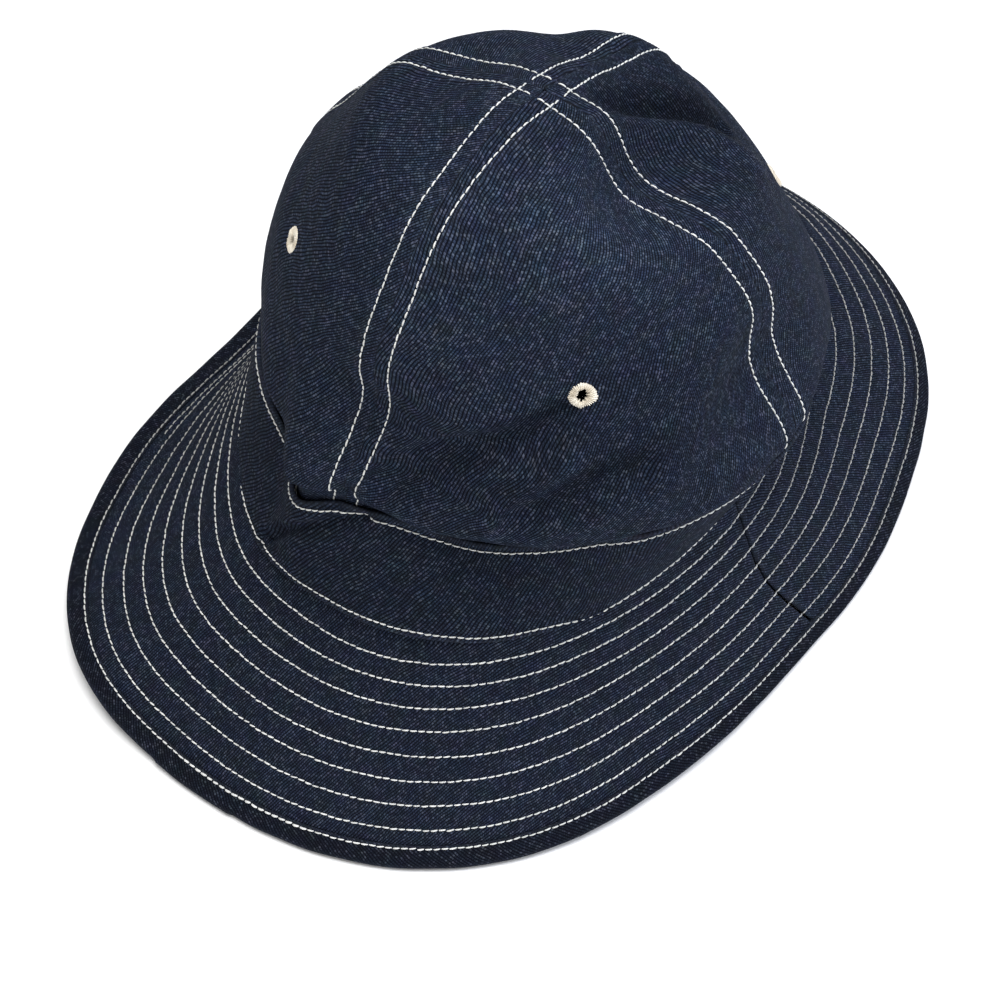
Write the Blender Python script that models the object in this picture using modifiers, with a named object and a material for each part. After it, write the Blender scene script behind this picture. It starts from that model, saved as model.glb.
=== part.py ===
"""Soft army hat: a crown of four cloth panels, an upright band and a wide stitched brim.

Units are metres, +Z is up and the hat lies on a flat surface at z = 0. The wearer would look
along -Y, with the left hand on the +X side. Directions around the hat are angles from the
front, counted towards the wearer's left.
"""

from collections import namedtuple

import bmesh
import bpy
import numpy as np
from mathutils import Matrix, Vector

MM = 0.001

# The head opening, where the band stands on the brim
OPENING_LENGTH = 199 * MM
OPENING_WIDTH = 156 * MM

# Brim and the tape folded over its edge. The brim's top starts BRIM_TUCK under the seam line.
BRIM_WIDTH = 67.5 * MM
BRIM_THICKNESS = 2.4 * MM
BINDING_WIDTH = 7 * MM
BINDING_THICKNESS = 3.2 * MM
BRIM_SEAM_ANGLE = 86.0
BRIM_TUCK = 1.8 * MM

# Band between brim and crown
BAND_HEIGHT = 32.5 * MM
BAND_THICKNESS = 1.8 * MM
BAND_HEM = 2 * MM

# Crown
CROWN_WIDTH = 157 * MM
CROWN_RISE = 101 * MM
PANEL_THICKNESS = 1.2 * MM
PANEL_TUCK = 6 * MM
CROWN_EASE = 0.9 * MM
SEAM_WIDTH = 12 * MM
SEAM_RISE = 0.9 * MM
SEAM_GAP = 0.6 * MM

# Air holes
EYELET_WIDTH = 8.4 * MM
EYELET_HOLE = 2.8 * MM
EYELET_THICKNESS = 2.2 * MM
EYELET_LEVEL = 0.485

# Gap kept between pieces that touch in the real hat
CLEARANCE = 0.3 * MM

# How the soft rim lies, at angles around the hat. out is a share of half the opening's width.
# seam, bow and edge are shares of the brim's width: the heights of the brim's inner seam and
# of its edge, and how far the brim bows up between them. rise and lean are shares of the
# band's height: how far the band's top is above its bottom, and how far it leans inwards.
Rim = namedtuple("Rim", "angle out seam bow rise lean edge")
RIM = [
    Rim(0, -0.03, 0.70, 0.03, 1.12, 0.25, -0.01),
    Rim(30, 0.07, 0.84, -0.01, 0.88, 0.36, -0.01),
    Rim(60, 0.08, 0.92, -0.10, 0.97, -0.22, 0.01),
    Rim(90, 0.02, 0.92, -0.02, 0.81, -0.38, -0.015),
    Rim(120, -0.11, 0.72, 0.01, 0.75, -0.15, -0.01),
    Rim(150, -0.06, 0.48, 0.08, 0.77, 0.49, -0.005),
    Rim(180, 0.04, 0.50, 0.13, 0.91, 0.38, -0.01),
    Rim(210, -0.04, 0.51, 0.00, 0.92, 0.41, 0.00),
    Rim(240, -0.06, 0.64, -0.16, 0.91, 0.42, 0.01),
    Rim(270, 0.04, 0.76, -0.23, 0.97, 0.26, 0.015),
    Rim(300, 0.00, 0.66, -0.17, 0.97, 0.21, 0.015),
    Rim(330, -0.03, 0.60, -0.04, 0.98, 0.40, 0.07),
    Rim(348, -0.04, 0.66, 0.00, 1.02, 0.11, 0.00),
]

# The crown's outline from the band up to the crossing of its seams. level is the share of
# the way up the cloth, radius a share of half the crown's width, height of the crown's rise.
Girth = namedtuple("Girth", "level radius height")
CROWN = [
    Girth(0.00, 1.00, 0.00),
    Girth(0.08, 1.00, 0.06),
    Girth(0.20, 1.07, 0.13),
    Girth(0.35, 1.00, 0.38),
    Girth(0.50, 0.88, 0.57),
    Girth(0.65, 0.75, 0.77),
    Girth(0.78, 0.59, 0.95),
    Girth(0.89, 0.28, 1.00),
    Girth(1.00, 0.00, 1.01),
]

# Dents and bulges of the slack crown. Each is centred at an angle and a level, reaches
# across and along by shares of the crown's radius laid flat, and moves the cloth outwards
# (push) and upwards (lift) by shares of the crown's rise.
Fold = namedtuple("Fold", "name angle level across along push lift")
FOLDS = [
    Fold("left bulge", 125, 0.18, 0.45, 0.20, 0.06, -0.05),
    Fold("top dent on the seam", 90, 0.78, 0.13, 0.10, -0.15, -0.15),
    Fold("ridge under that dent", 86, 0.46, 0.25, 0.12, 0.03, 0.07),
    Fold("crease over the band", 85, 0.32, 0.22, 0.08, -0.08, -0.03),
    Fold("sag over the band", 90, 0.18, 0.35, 0.11, -0.04, -0.05),
    Fold("front dent", 0, 0.35, 0.22, 0.12, -0.10, -0.03),
    Fold("front bulge", 2, 0.60, 0.22, 0.20, 0.06, -0.03),
    Fold("right front hollow", 310, 0.24, 0.45, 0.25, -0.07, 0.10),
    Fold("left front swell", 48, 0.33, 0.40, 0.20, 0.12, 0.04),
    Fold("left front rise", 56, 0.72, 0.20, 0.15, 0.07, 0.11),
    Fold("left of the crossing", 70, 0.91, 0.10, 0.08, 0.06, 0.01),
    Fold("fall behind the dent", 149, 0.74, 0.14, 0.15, 0.04, -0.18),
    Fold("right of the crossing", 277, 0.86, 0.12, 0.12, -0.02, -0.08),
    Fold("back swell", 202, 0.62, 0.40, 0.30, 0.05, 0.00),
    Fold("back fall", 217, 0.71, 0.25, 0.15, -0.12, -0.10),
    Fold("right side", 269, 0.60, 0.30, 0.30, -0.10, 0.08),
    Fold("front of the crossing", 328, 0.94, 0.15, 0.12, 0.02, 0.11),
]

# Creases of the slack cloth. Each runs straight, on the crown laid flat, from one angle and
# level to another, is width wide and moves the cloth like a fold.
Crease = namedtuple("Crease", "name angle level to_angle to_level width push lift")
CREASES = [
    Crease("long fold under the left air hole", 0, 0.13, 41, 0.452, 0.038, -0.040, 0.00),
    Crease("roll above the long fold", 8, 0.36, 34, 0.515, 0.050, 0.018, 0.00),
    Crease("hollow below the long fold", 10, 0.20, 27, 0.31, 0.070, -0.018, 0.00),
    Crease("ridge beside the hollow", 30, 0.25, 43, 0.40, 0.036, 0.022, 0.00),
    Crease("short fold over the band", 34, 0.30, 55, 0.345, 0.032, -0.024, 0.00),
    Crease("fold behind the crossing", 131, 0.90, 141, 0.74, 0.030, -0.010, -0.022),
    Crease("ridge beside that fold", 110, 0.93, 125, 0.60, 0.035, 0.006, 0.012),
]

# Share by which the crown's top is longer than wide, and the way its top leans
CROWN_OVAL = 0.03
CROWN_LEAN_LEFT = 10 * MM
CROWN_LEAN_BACK = -8 * MM
LEAN_POWER = 1.2
ROUND_FROM = 0.5
FOLDS_FROM = 0.08

# Slopes at which slack cloth leaves the band's top edge, inside and outside of it
STEEP = 12
SLANT = 1.0

# Extra length of a bow of height h over a chord c: the cloth's length squared is c squared plus
# BOW_LENGTH times h squared
BOW_LENGTH = 16 / 3
BOW_STEPS = 33

# How boxy the binding's section is, 1 being round: along the brim and through it. It lies
# BINDING_SINK of its thickness above the floor, and the floor flattens the rest.
TAPE_FLAT_ALONG = 0.6
TAPE_FLAT_ABOVE = 0.8
BINDING_SINK = 0.6

# On a crown panel, the ridge line of the felled strip, and the most of the panel it may take up
STRIP_RIDGE = 0.6
STRIP_MOST = np.pi / 10
SINE_MOST = 0.7

# Mesh steps
RING_STEPS = 72
BRIM_ROWS = 7
BAND_ROWS = 3
BINDING_SIDES = 10
PANEL_STEPS = 12
PANEL_LEVELS = [0, 0.05, 0.12, 0.20, 0.26, 0.32, 0.38, 0.44, 0.50, 0.56, 0.62,
                0.68, 0.74, 0.80, 0.86, 0.91, 0.96]
TIP_LEVEL = 0.998
EYELET_STEPS = 16


def through(keys, values, x):
    """Values at x on a smooth curve through the given points."""
    slopes = np.gradient(values)
    slopes[1:-1] = (values[2:] - values[:-2]) / (keys[2:] - keys[:-2])
    slopes[0] = (values[1] - values[0]) / (keys[1] - keys[0])
    slopes[-1] = (values[-1] - values[-2]) / (keys[-1] - keys[-2])
    i = np.clip(np.searchsorted(keys, x, side="right") - 1, 0, len(keys) - 2)
    step = keys[i + 1] - keys[i]
    u = (x - keys[i]) / step
    start = values[i] * (1 + 2 * u) * (1 - u) ** 2 + slopes[i] * step * u * (1 - u) ** 2
    end = values[i + 1] * u * u * (3 - 2 * u) - slopes[i + 1] * step * u * u * (1 - u)
    return start + end


def around(column, angle):
    """A column of the rim's table at any angle, in radians, as a closed curve."""
    keys = np.radians([row.angle for row in RIM])
    values = np.array([getattr(row, column) for row in RIM], float)
    turn = 2 * np.pi
    keys = np.concatenate([keys[-3:] - turn, keys, keys[:3] + turn])
    values = np.concatenate([values[-3:], values, values[:3]])
    return through(keys, values, np.mod(angle, turn))


def up_crown(column, level):
    """A column of the crown's outline at any level."""
    keys = np.array([row.level for row in CROWN])
    values = np.array([getattr(row, column) for row in CROWN], float)
    return through(keys, values, level)


def ease(x):
    """0 up to 0, 1 from 1 on, and a soft step between."""
    x = np.clip(x, 0, 1)
    return x * x * (3 - 2 * x)


def unit(vectors):
    """The same directions with length 1."""
    return vectors / np.linalg.norm(vectors, axis=-1)[..., None]


def across(surface, first, second, step=0.004):
    """Unit normals of a surface given as a function of two shares."""
    one = surface(first + step, second) - surface(first - step, second)
    two = surface(first, second + step) - surface(first, second - step)
    return unit(np.cross(one, two))


def seam_ring(angle):
    """The oval seam where band and brim meet, and its outward directions."""
    half_width = OPENING_WIDTH / 2
    half_length = OPENING_LENGTH / 2
    sine, cosine = np.sin(angle), np.cos(angle)
    outward = unit(np.stack([sine / half_width, -cosine / half_length, 0 * angle], -1))
    height = BINDING_REST + BRIM_WIDTH * around("seam", angle)
    ring = np.stack([half_width * sine, -half_length * cosine, height], -1)
    return ring + outward * (half_width * around("out", angle))[..., None], outward


def brim_surface(angle, share):
    """Top of the brim: share 0 at the band, 1 at the edge, along the cloth."""
    angle, share = np.broadcast_arrays(angle, share)
    start, outward = seam_ring(angle)
    start[..., 2] -= BRIM_TUCK
    drop = start[..., 2] - BINDING_REST - BRIM_WIDTH * around("edge", angle)
    bow = BRIM_WIDTH * around("bow", angle)
    # The cloth keeps its length, so a brim that bows or drops reaches less far outwards
    reach = np.sqrt(BRIM_WIDTH ** 2 - drop ** 2 - BOW_LENGTH * bow ** 2)
    steps = np.linspace(0, 1, BOW_STEPS)
    middle = (steps[1:] + steps[:-1]) / 2
    slope = 4 * bow[..., None] * (1 - 2 * middle) - drop[..., None]
    length = np.cumsum(np.hypot(reach[..., None], slope), -1)
    length = np.concatenate([0 * length[..., :1], length], -1) / length[..., -1:]
    rows = zip(share.ravel(), length.reshape(-1, len(steps)))
    flat = np.array([np.interp(s, lengths, steps) for s, lengths in rows]).reshape(share.shape)
    point = start + outward * (reach * flat)[..., None]
    point[..., 2] = start[..., 2] - drop * flat + 4 * bow * flat * (1 - flat)
    return point


def band_top(angle):
    """The band's top stitch line, and its outward directions."""
    ring, outward = seam_ring(angle)
    top = ring - outward * (BAND_HEIGHT * around("lean", angle))[..., None]
    top[..., 2] += BAND_HEIGHT * around("rise", angle)
    return top, outward


def band_surface(angle, share):
    """Outside of the band: share 0 just above the brim, 1 at its top hem."""
    angle, share = np.broadcast_arrays(angle, share)
    bottom, _ = seam_ring(angle)
    top, _ = band_top(angle)
    bottom[..., 2] -= BRIM_TUCK - CLEARANCE
    top = top + unit(top - bottom) * BAND_HEM
    return bottom + (top - bottom) * share[..., None]


def band_axes(angle):
    """The band's directions at its top: up along its wall, and inwards through it."""
    top, outward = band_top(angle)
    bottom, _ = seam_ring(angle)
    up = unit(top - bottom)
    inward = up * (up * outward).sum(-1)[..., None] - outward
    return up, unit(inward)


def rest_on_band(point, angle):
    """Lift the slack crown where it would sink into the band's top edge."""
    up, inward = band_axes(angle)
    apart = point - band_surface(angle, 1)
    inside = (apart * inward).sum(-1)
    above = (apart * up).sum(-1)
    beyond = np.maximum(inside - BAND_THICKNESS, 0) * STEEP + np.maximum(-inside, 0) * SLANT
    short = PANEL_THICKNESS + CROWN_EASE - beyond - above
    return point + up * np.maximum(short, 0)[..., None]


def flat_place(angle, level):
    """Where a point of the crown lies when its cloth is laid flat, in shares."""
    return np.stack([(1 - level) * np.sin(angle), (1 - level) * np.cos(angle)], -1)


def crown_surface(angle, level):
    """Outside of the crown: level 0 at the band's top edge, 1 at the crossing on top."""
    angle, level = np.broadcast_arrays(angle, level)
    _, inward = band_axes(angle)
    ring = band_surface(angle, 1) + inward * (BAND_THICKNESS + CROWN_EASE)
    radius = up_crown("radius", level)
    height = up_crown("height", level)
    half = CROWN_WIDTH / 2
    oval = np.stack([np.sin(angle) * (1 - CROWN_OVAL), -np.cos(angle) * (1 + CROWN_OVAL)], -1) * half
    share = ease(level / ROUND_FROM)[..., None]
    flat = ring[..., :2] * (1 - share) + oval * share
    lean = level ** LEAN_POWER
    top = CROWN_FOOT + CROWN_RISE
    point = np.stack([flat[..., 0] * radius + CROWN_LEAN_LEFT * lean,
                      flat[..., 1] * radius + CROWN_LEAN_BACK * lean,
                      ring[..., 2] * (1 - height) + top * height], -1)
    for fold in FOLDS:
        turn = np.radians(fold.angle)
        away = (1 - level) * np.cos(angle - turn) - (1 - fold.level)
        aside = (1 - level) * np.sin(angle - turn)
        weight = ease(level / FOLDS_FROM) * np.exp(-(away / fold.along) ** 2 - (aside / fold.across) ** 2)
        point[..., 0] += CROWN_RISE * fold.push * weight * np.sin(turn)
        point[..., 1] -= CROWN_RISE * fold.push * weight * np.cos(turn)
        point[..., 2] += CROWN_RISE * fold.lift * weight
    for crease in CREASES:
        here = flat_place(angle, level)
        start = flat_place(np.radians(crease.angle), crease.level)
        run = flat_place(np.radians(crease.to_angle), crease.to_level) - start
        along = np.clip((here - start) @ run / (run @ run), 0, 1)
        away = np.linalg.norm(here - start - along[..., None] * run, axis=-1)
        weight = ease(level / FOLDS_FROM) * np.exp(-(away / crease.width) ** 2)
        turn = np.radians((crease.angle + crease.to_angle) / 2)
        point[..., 0] += CROWN_RISE * crease.push * weight * np.sin(turn)
        point[..., 1] -= CROWN_RISE * crease.push * weight * np.cos(turn)
        point[..., 2] += CROWN_RISE * crease.lift * weight
    return rest_on_band(point, angle)


def material(name, colour, roughness):
    """A cloth material with its colour, in linear light, and roughness."""
    cloth = bpy.data.materials.new(name)
    cloth.use_nodes = True
    shader = cloth.node_tree.nodes["Principled BSDF"]
    shader.inputs["Base Color"].default_value = (*colour, 1)
    shader.inputs["Roughness"].default_value = roughness
    shader.inputs["Metallic"].default_value = 0
    return cloth


def new_object(name, mesh, collection, cloth):
    """An object of the mesh, in the collection, with its material and smooth shading."""
    piece = bpy.data.objects.new(name, mesh)
    piece.location = -HAT_CENTRE
    collection.objects.link(piece)
    mesh.materials.clear()
    mesh.materials.append(cloth)
    mesh.shade_smooth()
    return piece


def grid_mesh(name, columns, rows, place, weld=None):
    """A grid of cloth, each corner put in place by a function of its two shares."""
    bm = bmesh.new()
    bmesh.ops.create_grid(bm, x_segments=columns, y_segments=rows, size=0.5)
    corners = np.array([v.co for v in bm.verts])
    places = place(corners[:, 0] + 0.5, corners[:, 1] + 0.5)
    for corner, point in zip(bm.verts, places):
        corner.co = point
    if weld:
        bmesh.ops.remove_doubles(bm, verts=bm.verts, dist=weld)
    mesh = bpy.data.meshes.new(name)
    bm.to_mesh(mesh)
    bm.free()
    return mesh


def shell(name, mesh, thickness, collection, cloth):
    """A cloth wall under the surface, with no part of it below the floor."""
    piece = new_object(name, mesh, collection, cloth)
    wall = piece.modifiers.new("wall", "SOLIDIFY")
    wall.thickness = thickness
    wall.offset = -1
    wall.use_even_offset = True
    evaluated = piece.evaluated_get(bpy.context.evaluated_depsgraph_get())
    solid = bpy.data.meshes.new_from_object(evaluated)
    piece.modifiers.remove(wall)
    for corner in solid.vertices:
        corner.co.z = max(corner.co.z, 0)
    piece.data = solid
    bpy.data.meshes.remove(mesh)
    solid.name = name
    solid.shade_smooth()
    return piece


def make_brim(collection, cloth):
    """The brim, cut across by its one seam."""
    outer = 1 - (BINDING_WIDTH + CLEARANCE) / BRIM_WIDTH

    def place(u, v):
        share = (1 - v) * outer
        angle = np.radians(BRIM_SEAM_ANGLE) + 2 * np.pi * u
        radius = np.linalg.norm(brim_surface(angle, share)[..., :2], axis=-1)
        angle += (1 - 2 * u) * CLEARANCE / 2 / radius
        return brim_surface(angle, share)

    mesh = grid_mesh("brim", RING_STEPS, BRIM_ROWS, place)
    return shell("brim", mesh, BRIM_THICKNESS, collection, cloth)


def make_binding(collection, cloth):
    """The folded tape around the brim's edge, a flat tube flattened where it rests."""
    inner = 1 - BINDING_WIDTH / BRIM_WIDTH

    def place(u, v):
        angle = 2 * np.pi * u
        turn = 2 * np.pi * v
        along = np.sign(np.cos(turn)) * np.abs(np.cos(turn)) ** TAPE_FLAT_ALONG
        above = np.sign(np.sin(turn)) * np.abs(np.sin(turn)) ** TAPE_FLAT_ABOVE
        share = inner + (1 - inner) * (1 + along) / 2
        point = brim_surface(angle, share)
        normal = across(brim_surface, angle, 0 * share + (1 + inner) / 2)
        normal *= -np.sign(normal[..., 2:])
        point += normal * ((1 - above) * BINDING_THICKNESS / 2)[..., None]
        point[..., 2] = np.maximum(point[..., 2], 0)
        return point

    mesh = grid_mesh("brim_binding", RING_STEPS, BINDING_SIDES, place, weld=CLEARANCE / 10)
    return new_object("brim_binding", mesh, collection, cloth)


def make_band(collection, cloth):
    """The upright band, a closed ring."""

    def place(u, v):
        return band_surface(2 * np.pi * u, v)

    mesh = grid_mesh("side_band", RING_STEPS, BAND_ROWS, place, weld=CLEARANCE / 10)
    return shell("side_band", mesh, BAND_THICKNESS, collection, cloth)


def make_panel(name, start, collection, cloth):
    """One quarter of the crown, thicker where its edges are felled into the seams."""
    columns = PANEL_STEPS + 4
    levels = np.array([0] + PANEL_LEVELS + [TIP_LEVEL])

    def place(u, v):
        level = np.interp(v * (len(levels) - 1), np.arange(len(levels)), levels)
        radius = up_crown("radius", level) * CROWN_WIDTH / 2
        beside = np.arcsin(np.minimum(SEAM_GAP / 2 / radius, SINE_MOST))
        strip = np.arcsin(np.minimum(SEAM_WIDTH / 2 / radius, SINE_MOST))
        strip = np.clip(strip, beside * 1.5, np.maximum(STRIP_MOST, beside * 1.5))
        place_in = u * columns
        mirrored = np.minimum(place_in, columns - place_in)
        inner = strip + (np.pi / 4 - strip) * (mirrored - 2) / (columns / 2 - 2)
        angle = np.where(mirrored < 1.5, STRIP_RIDGE * strip, inner)
        angle = np.where(mirrored < 0.5, beside, angle)
        angle = np.where(place_in <= columns / 2, angle, np.pi / 2 - angle)
        angle = np.where(level == TIP_LEVEL, np.pi / 4, angle)
        turn = np.radians(start) + angle
        point = crown_surface(turn, level)
        raised = np.where(mirrored < 1.5, SEAM_RISE, 0) * ease(radius / SEAM_WIDTH)
        raised *= ease((level - PANEL_LEVELS[1]) / PANEL_LEVELS[2])
        normal = across(crown_surface, turn, np.clip(level, 0.02, 0.97))
        normal *= np.sign((normal * (point - [0, 0, CROWN_FOOT])).sum(-1))[..., None]
        tucked = np.where(v == 0, 1, 0)[..., None]
        hidden = point - band_axes(turn)[0] * (BAND_HEM + PANEL_TUCK)
        return (point + normal * raised[..., None]) * (1 - tucked) + hidden * tucked

    mesh = grid_mesh(name, columns, len(levels) - 1, place, weld=CLEARANCE / 10)
    return shell(name, mesh, PANEL_THICKNESS, collection, cloth)


def eyelet_frame(angle):
    """Where an eyelet sits on the crown: its centre and three axes, the last outwards."""
    turn = np.radians(np.array(angle, float))
    level = np.array(EYELET_LEVEL)
    centre = crown_surface(turn, level)
    out = across(crown_surface, turn, level)
    out = out * np.sign(out @ (centre - [0, 0, CROWN_FOOT]))
    side = unit(np.cross([0, 0, 1], out))
    return centre, side, np.cross(out, side), out


def make_eyelet(name, angle, panel, collection, cutters, cloth):
    """A round rim in a hole of its own in the panel."""
    centre, side, up, out = eyelet_frame(angle)
    middle = centre - out * PANEL_THICKNESS / 2
    axes = Matrix([[*row] for row in np.stack([side, up, out], 1)]).to_4x4()
    axes.translation = Vector(middle) - HAT_CENTRE
    tube = (EYELET_WIDTH - EYELET_HOLE) / 4
    bpy.ops.mesh.primitive_torus_add(major_segments=EYELET_STEPS, minor_segments=8,
                                     major_radius=EYELET_HOLE / 2 + tube, minor_radius=tube)
    rim = bpy.context.object
    rim.data.transform(Matrix.Diagonal((1, 1, EYELET_THICKNESS / 2 / tube, 1)))
    rim.name = name
    rim.matrix_world = axes
    for owner in rim.users_collection:
        owner.objects.unlink(rim)
    collection.objects.link(rim)
    rim.data.materials.append(cloth)
    rim.data.shade_smooth()

    room = EYELET_WIDTH / 2 + 2 * CLEARANCE
    bm = bmesh.new()
    bmesh.ops.create_cone(bm, cap_ends=True, segments=EYELET_STEPS, depth=EYELET_WIDTH,
                          radius1=room, radius2=room)
    mesh = bpy.data.meshes.new(name + "_hole")
    bm.to_mesh(mesh)
    bm.free()
    cutter = bpy.data.objects.new(name + "_hole", mesh)
    cutters.objects.link(cutter)
    cutter.matrix_world = axes
    cutter.hide_render = True
    cutter.display_type = "WIRE"
    hole = panel.modifiers.new("eyelet hole", "BOOLEAN")
    hole.operation = "DIFFERENCE"
    hole.solver = "EXACT"
    hole.object = cutter
    return rim


def middle_of_brim(angles):
    """The point on the floor under the middle of the brim's outline."""
    edge = brim_surface(angles, 1)
    low, high = edge.min(0), edge.max(0)
    return Vector(((low[0] + high[0]) / 2, (low[1] + high[1]) / 2, 0))


RING_ANGLES = np.linspace(0, 2 * np.pi, RING_STEPS, endpoint=False)
BINDING_REST = BINDING_SINK * BINDING_THICKNESS
CROWN_FOOT = band_top(RING_ANGLES)[0][:, 2].mean()
HAT_CENTRE = middle_of_brim(RING_ANGLES)


def main():
    for old in list(bpy.data.objects):
        bpy.data.objects.remove(old, do_unlink=True)
    hat = bpy.data.collections.new("army_hat")
    cutters = bpy.data.collections.new("cutters")
    bpy.context.scene.collection.children.link(hat)
    bpy.context.scene.collection.children.link(cutters)
    indigo = (0.012, 0.017, 0.030)
    cream = (0.60, 0.52, 0.39)
    make_brim(hat, material("brim_denim", indigo, 0.85))
    make_binding(hat, material("binding_denim", indigo, 0.85))
    make_band(hat, material("band_denim", indigo, 0.85))
    corners = [("front_left", 0), ("back_left", 90), ("back_right", 180), ("front_right", 270)]
    for corner, start in corners:
        panel = make_panel("crown_panel_" + corner, start, hat,
                           material("panel_denim_" + corner, indigo, 0.85))
        make_eyelet("eyelet_" + corner, start + 45, panel, hat, cutters,
                    material("eyelet_thread_" + corner, cream, 0.7))


main()
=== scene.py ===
"""The looks of a soft army hat: raw indigo denim with off-white topstitching.

The hat's form comes from the same sizes and tables as its CAD solids. On it go the denim of each
part with its folded edges and quilting, every stitch as a small arch of thread, and the worked
air holes. Units are metres, cloth patterns are in millimetres of cloth.
"""

from collections import namedtuple

import bpy
import numpy as np
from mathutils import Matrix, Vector, noise


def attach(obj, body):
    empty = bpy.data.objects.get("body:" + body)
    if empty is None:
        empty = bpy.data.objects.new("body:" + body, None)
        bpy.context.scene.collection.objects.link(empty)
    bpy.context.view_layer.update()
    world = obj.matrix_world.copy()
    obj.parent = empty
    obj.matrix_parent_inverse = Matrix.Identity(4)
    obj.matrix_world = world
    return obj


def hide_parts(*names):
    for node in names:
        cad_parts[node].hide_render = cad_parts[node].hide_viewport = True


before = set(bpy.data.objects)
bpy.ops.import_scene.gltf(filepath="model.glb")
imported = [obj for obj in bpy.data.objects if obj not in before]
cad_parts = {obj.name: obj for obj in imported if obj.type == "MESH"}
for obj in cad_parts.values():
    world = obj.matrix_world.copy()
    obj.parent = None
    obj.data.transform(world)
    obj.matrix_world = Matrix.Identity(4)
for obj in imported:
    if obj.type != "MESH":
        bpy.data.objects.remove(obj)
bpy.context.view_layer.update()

MM = 0.001

# The hat's form, as in its CAD

OPENING_LENGTH = 199 * MM
OPENING_WIDTH = 156 * MM
BRIM_WIDTH = 67.5 * MM
BINDING_THICKNESS = 3.2 * MM
BAND_HEIGHT = 32.5 * MM
BAND_THICKNESS = 1.8 * MM
BAND_HEM = 2 * MM
CROWN_WIDTH = 157 * MM
CROWN_RISE = 101 * MM
PANEL_THICKNESS = 1.2 * MM
CROWN_EASE = 0.9 * MM
EYELET_LEVEL = 0.485
CLEARANCE = 0.3 * MM

# How the soft rim lies around the hat: out is a share of half the opening's width; seam, bow and
# edge are shares of the brim's width; rise and lean are shares of the band's height.
Rim = namedtuple("Rim", "angle out seam bow rise lean edge")
RIM = [
    Rim(0, -0.03, 0.70, 0.03, 1.12, 0.25, -0.01),
    Rim(30, 0.07, 0.84, -0.01, 0.88, 0.36, -0.01),
    Rim(60, 0.08, 0.92, -0.10, 0.97, -0.22, 0.01),
    Rim(90, 0.02, 0.92, -0.02, 0.81, -0.38, -0.015),
    Rim(120, -0.11, 0.72, 0.01, 0.75, -0.15, -0.01),
    Rim(150, -0.06, 0.48, 0.08, 0.77, 0.49, -0.005),
    Rim(180, 0.04, 0.50, 0.13, 0.91, 0.38, -0.01),
    Rim(210, -0.04, 0.51, 0.00, 0.92, 0.41, 0.00),
    Rim(240, -0.06, 0.64, -0.16, 0.91, 0.42, 0.01),
    Rim(270, 0.04, 0.76, -0.23, 0.97, 0.26, 0.015),
    Rim(300, 0.00, 0.66, -0.17, 0.97, 0.21, 0.015),
    Rim(330, -0.03, 0.60, -0.04, 0.98, 0.40, 0.07),
    Rim(348, -0.04, 0.66, 0.00, 1.02, 0.11, 0.00),
]

# The crown's outline from the band to the crossing on top, as shares
Girth = namedtuple("Girth", "level radius height")
CROWN = [
    Girth(0.00, 1.00, 0.00),
    Girth(0.08, 1.00, 0.06),
    Girth(0.20, 1.07, 0.13),
    Girth(0.35, 1.00, 0.38),
    Girth(0.50, 0.88, 0.57),
    Girth(0.65, 0.75, 0.77),
    Girth(0.78, 0.59, 0.95),
    Girth(0.89, 0.28, 1.00),
    Girth(1.00, 0.00, 1.01),
]

# Dents and bulges of the slack crown: where, how far they reach, and how far they move the cloth
Fold = namedtuple("Fold", "name angle level across along push lift")
FOLDS = [
    Fold("left bulge", 125, 0.18, 0.45, 0.20, 0.06, -0.05),
    Fold("top dent on the seam", 90, 0.78, 0.13, 0.10, -0.15, -0.15),
    Fold("ridge under that dent", 86, 0.46, 0.25, 0.12, 0.03, 0.07),
    Fold("crease over the band", 85, 0.32, 0.22, 0.08, -0.08, -0.03),
    Fold("sag over the band", 90, 0.18, 0.35, 0.11, -0.04, -0.05),
    Fold("front dent", 0, 0.35, 0.22, 0.12, -0.10, -0.03),
    Fold("front bulge", 2, 0.60, 0.22, 0.20, 0.06, -0.03),
    Fold("right front hollow", 310, 0.24, 0.45, 0.25, -0.07, 0.10),
    Fold("left front swell", 48, 0.33, 0.40, 0.20, 0.12, 0.04),
    Fold("left front rise", 56, 0.72, 0.20, 0.15, 0.07, 0.11),
    Fold("left of the crossing", 70, 0.91, 0.10, 0.08, 0.06, 0.01),
    Fold("fall behind the dent", 149, 0.74, 0.14, 0.15, 0.04, -0.18),
    Fold("right of the crossing", 277, 0.86, 0.12, 0.12, -0.02, -0.08),
    Fold("back swell", 202, 0.62, 0.40, 0.30, 0.05, 0.00),
    Fold("back fall", 217, 0.71, 0.25, 0.15, -0.12, -0.10),
    Fold("right side", 269, 0.60, 0.30, 0.30, -0.10, 0.08),
    Fold("front of the crossing", 328, 0.94, 0.15, 0.12, 0.02, 0.11),
]

# Creases of the slack cloth. Each runs straight, on the crown laid flat, from one angle and
# level to another, is width wide and moves the cloth like a fold.
Crease = namedtuple("Crease", "name angle level to_angle to_level width push lift")
CREASES = [
    Crease("long fold under the left air hole", 0, 0.13, 41, 0.452, 0.038, -0.040, 0.00),
    Crease("roll above the long fold", 8, 0.36, 34, 0.515, 0.050, 0.018, 0.00),
    Crease("hollow below the long fold", 10, 0.20, 27, 0.31, 0.070, -0.018, 0.00),
    Crease("ridge beside the hollow", 30, 0.25, 43, 0.40, 0.036, 0.022, 0.00),
    Crease("short fold over the band", 34, 0.30, 55, 0.345, 0.032, -0.024, 0.00),
    Crease("fold behind the crossing", 131, 0.90, 141, 0.74, 0.030, -0.010, -0.022),
    Crease("ridge beside that fold", 110, 0.93, 125, 0.60, 0.035, 0.006, 0.012),
]

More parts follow.
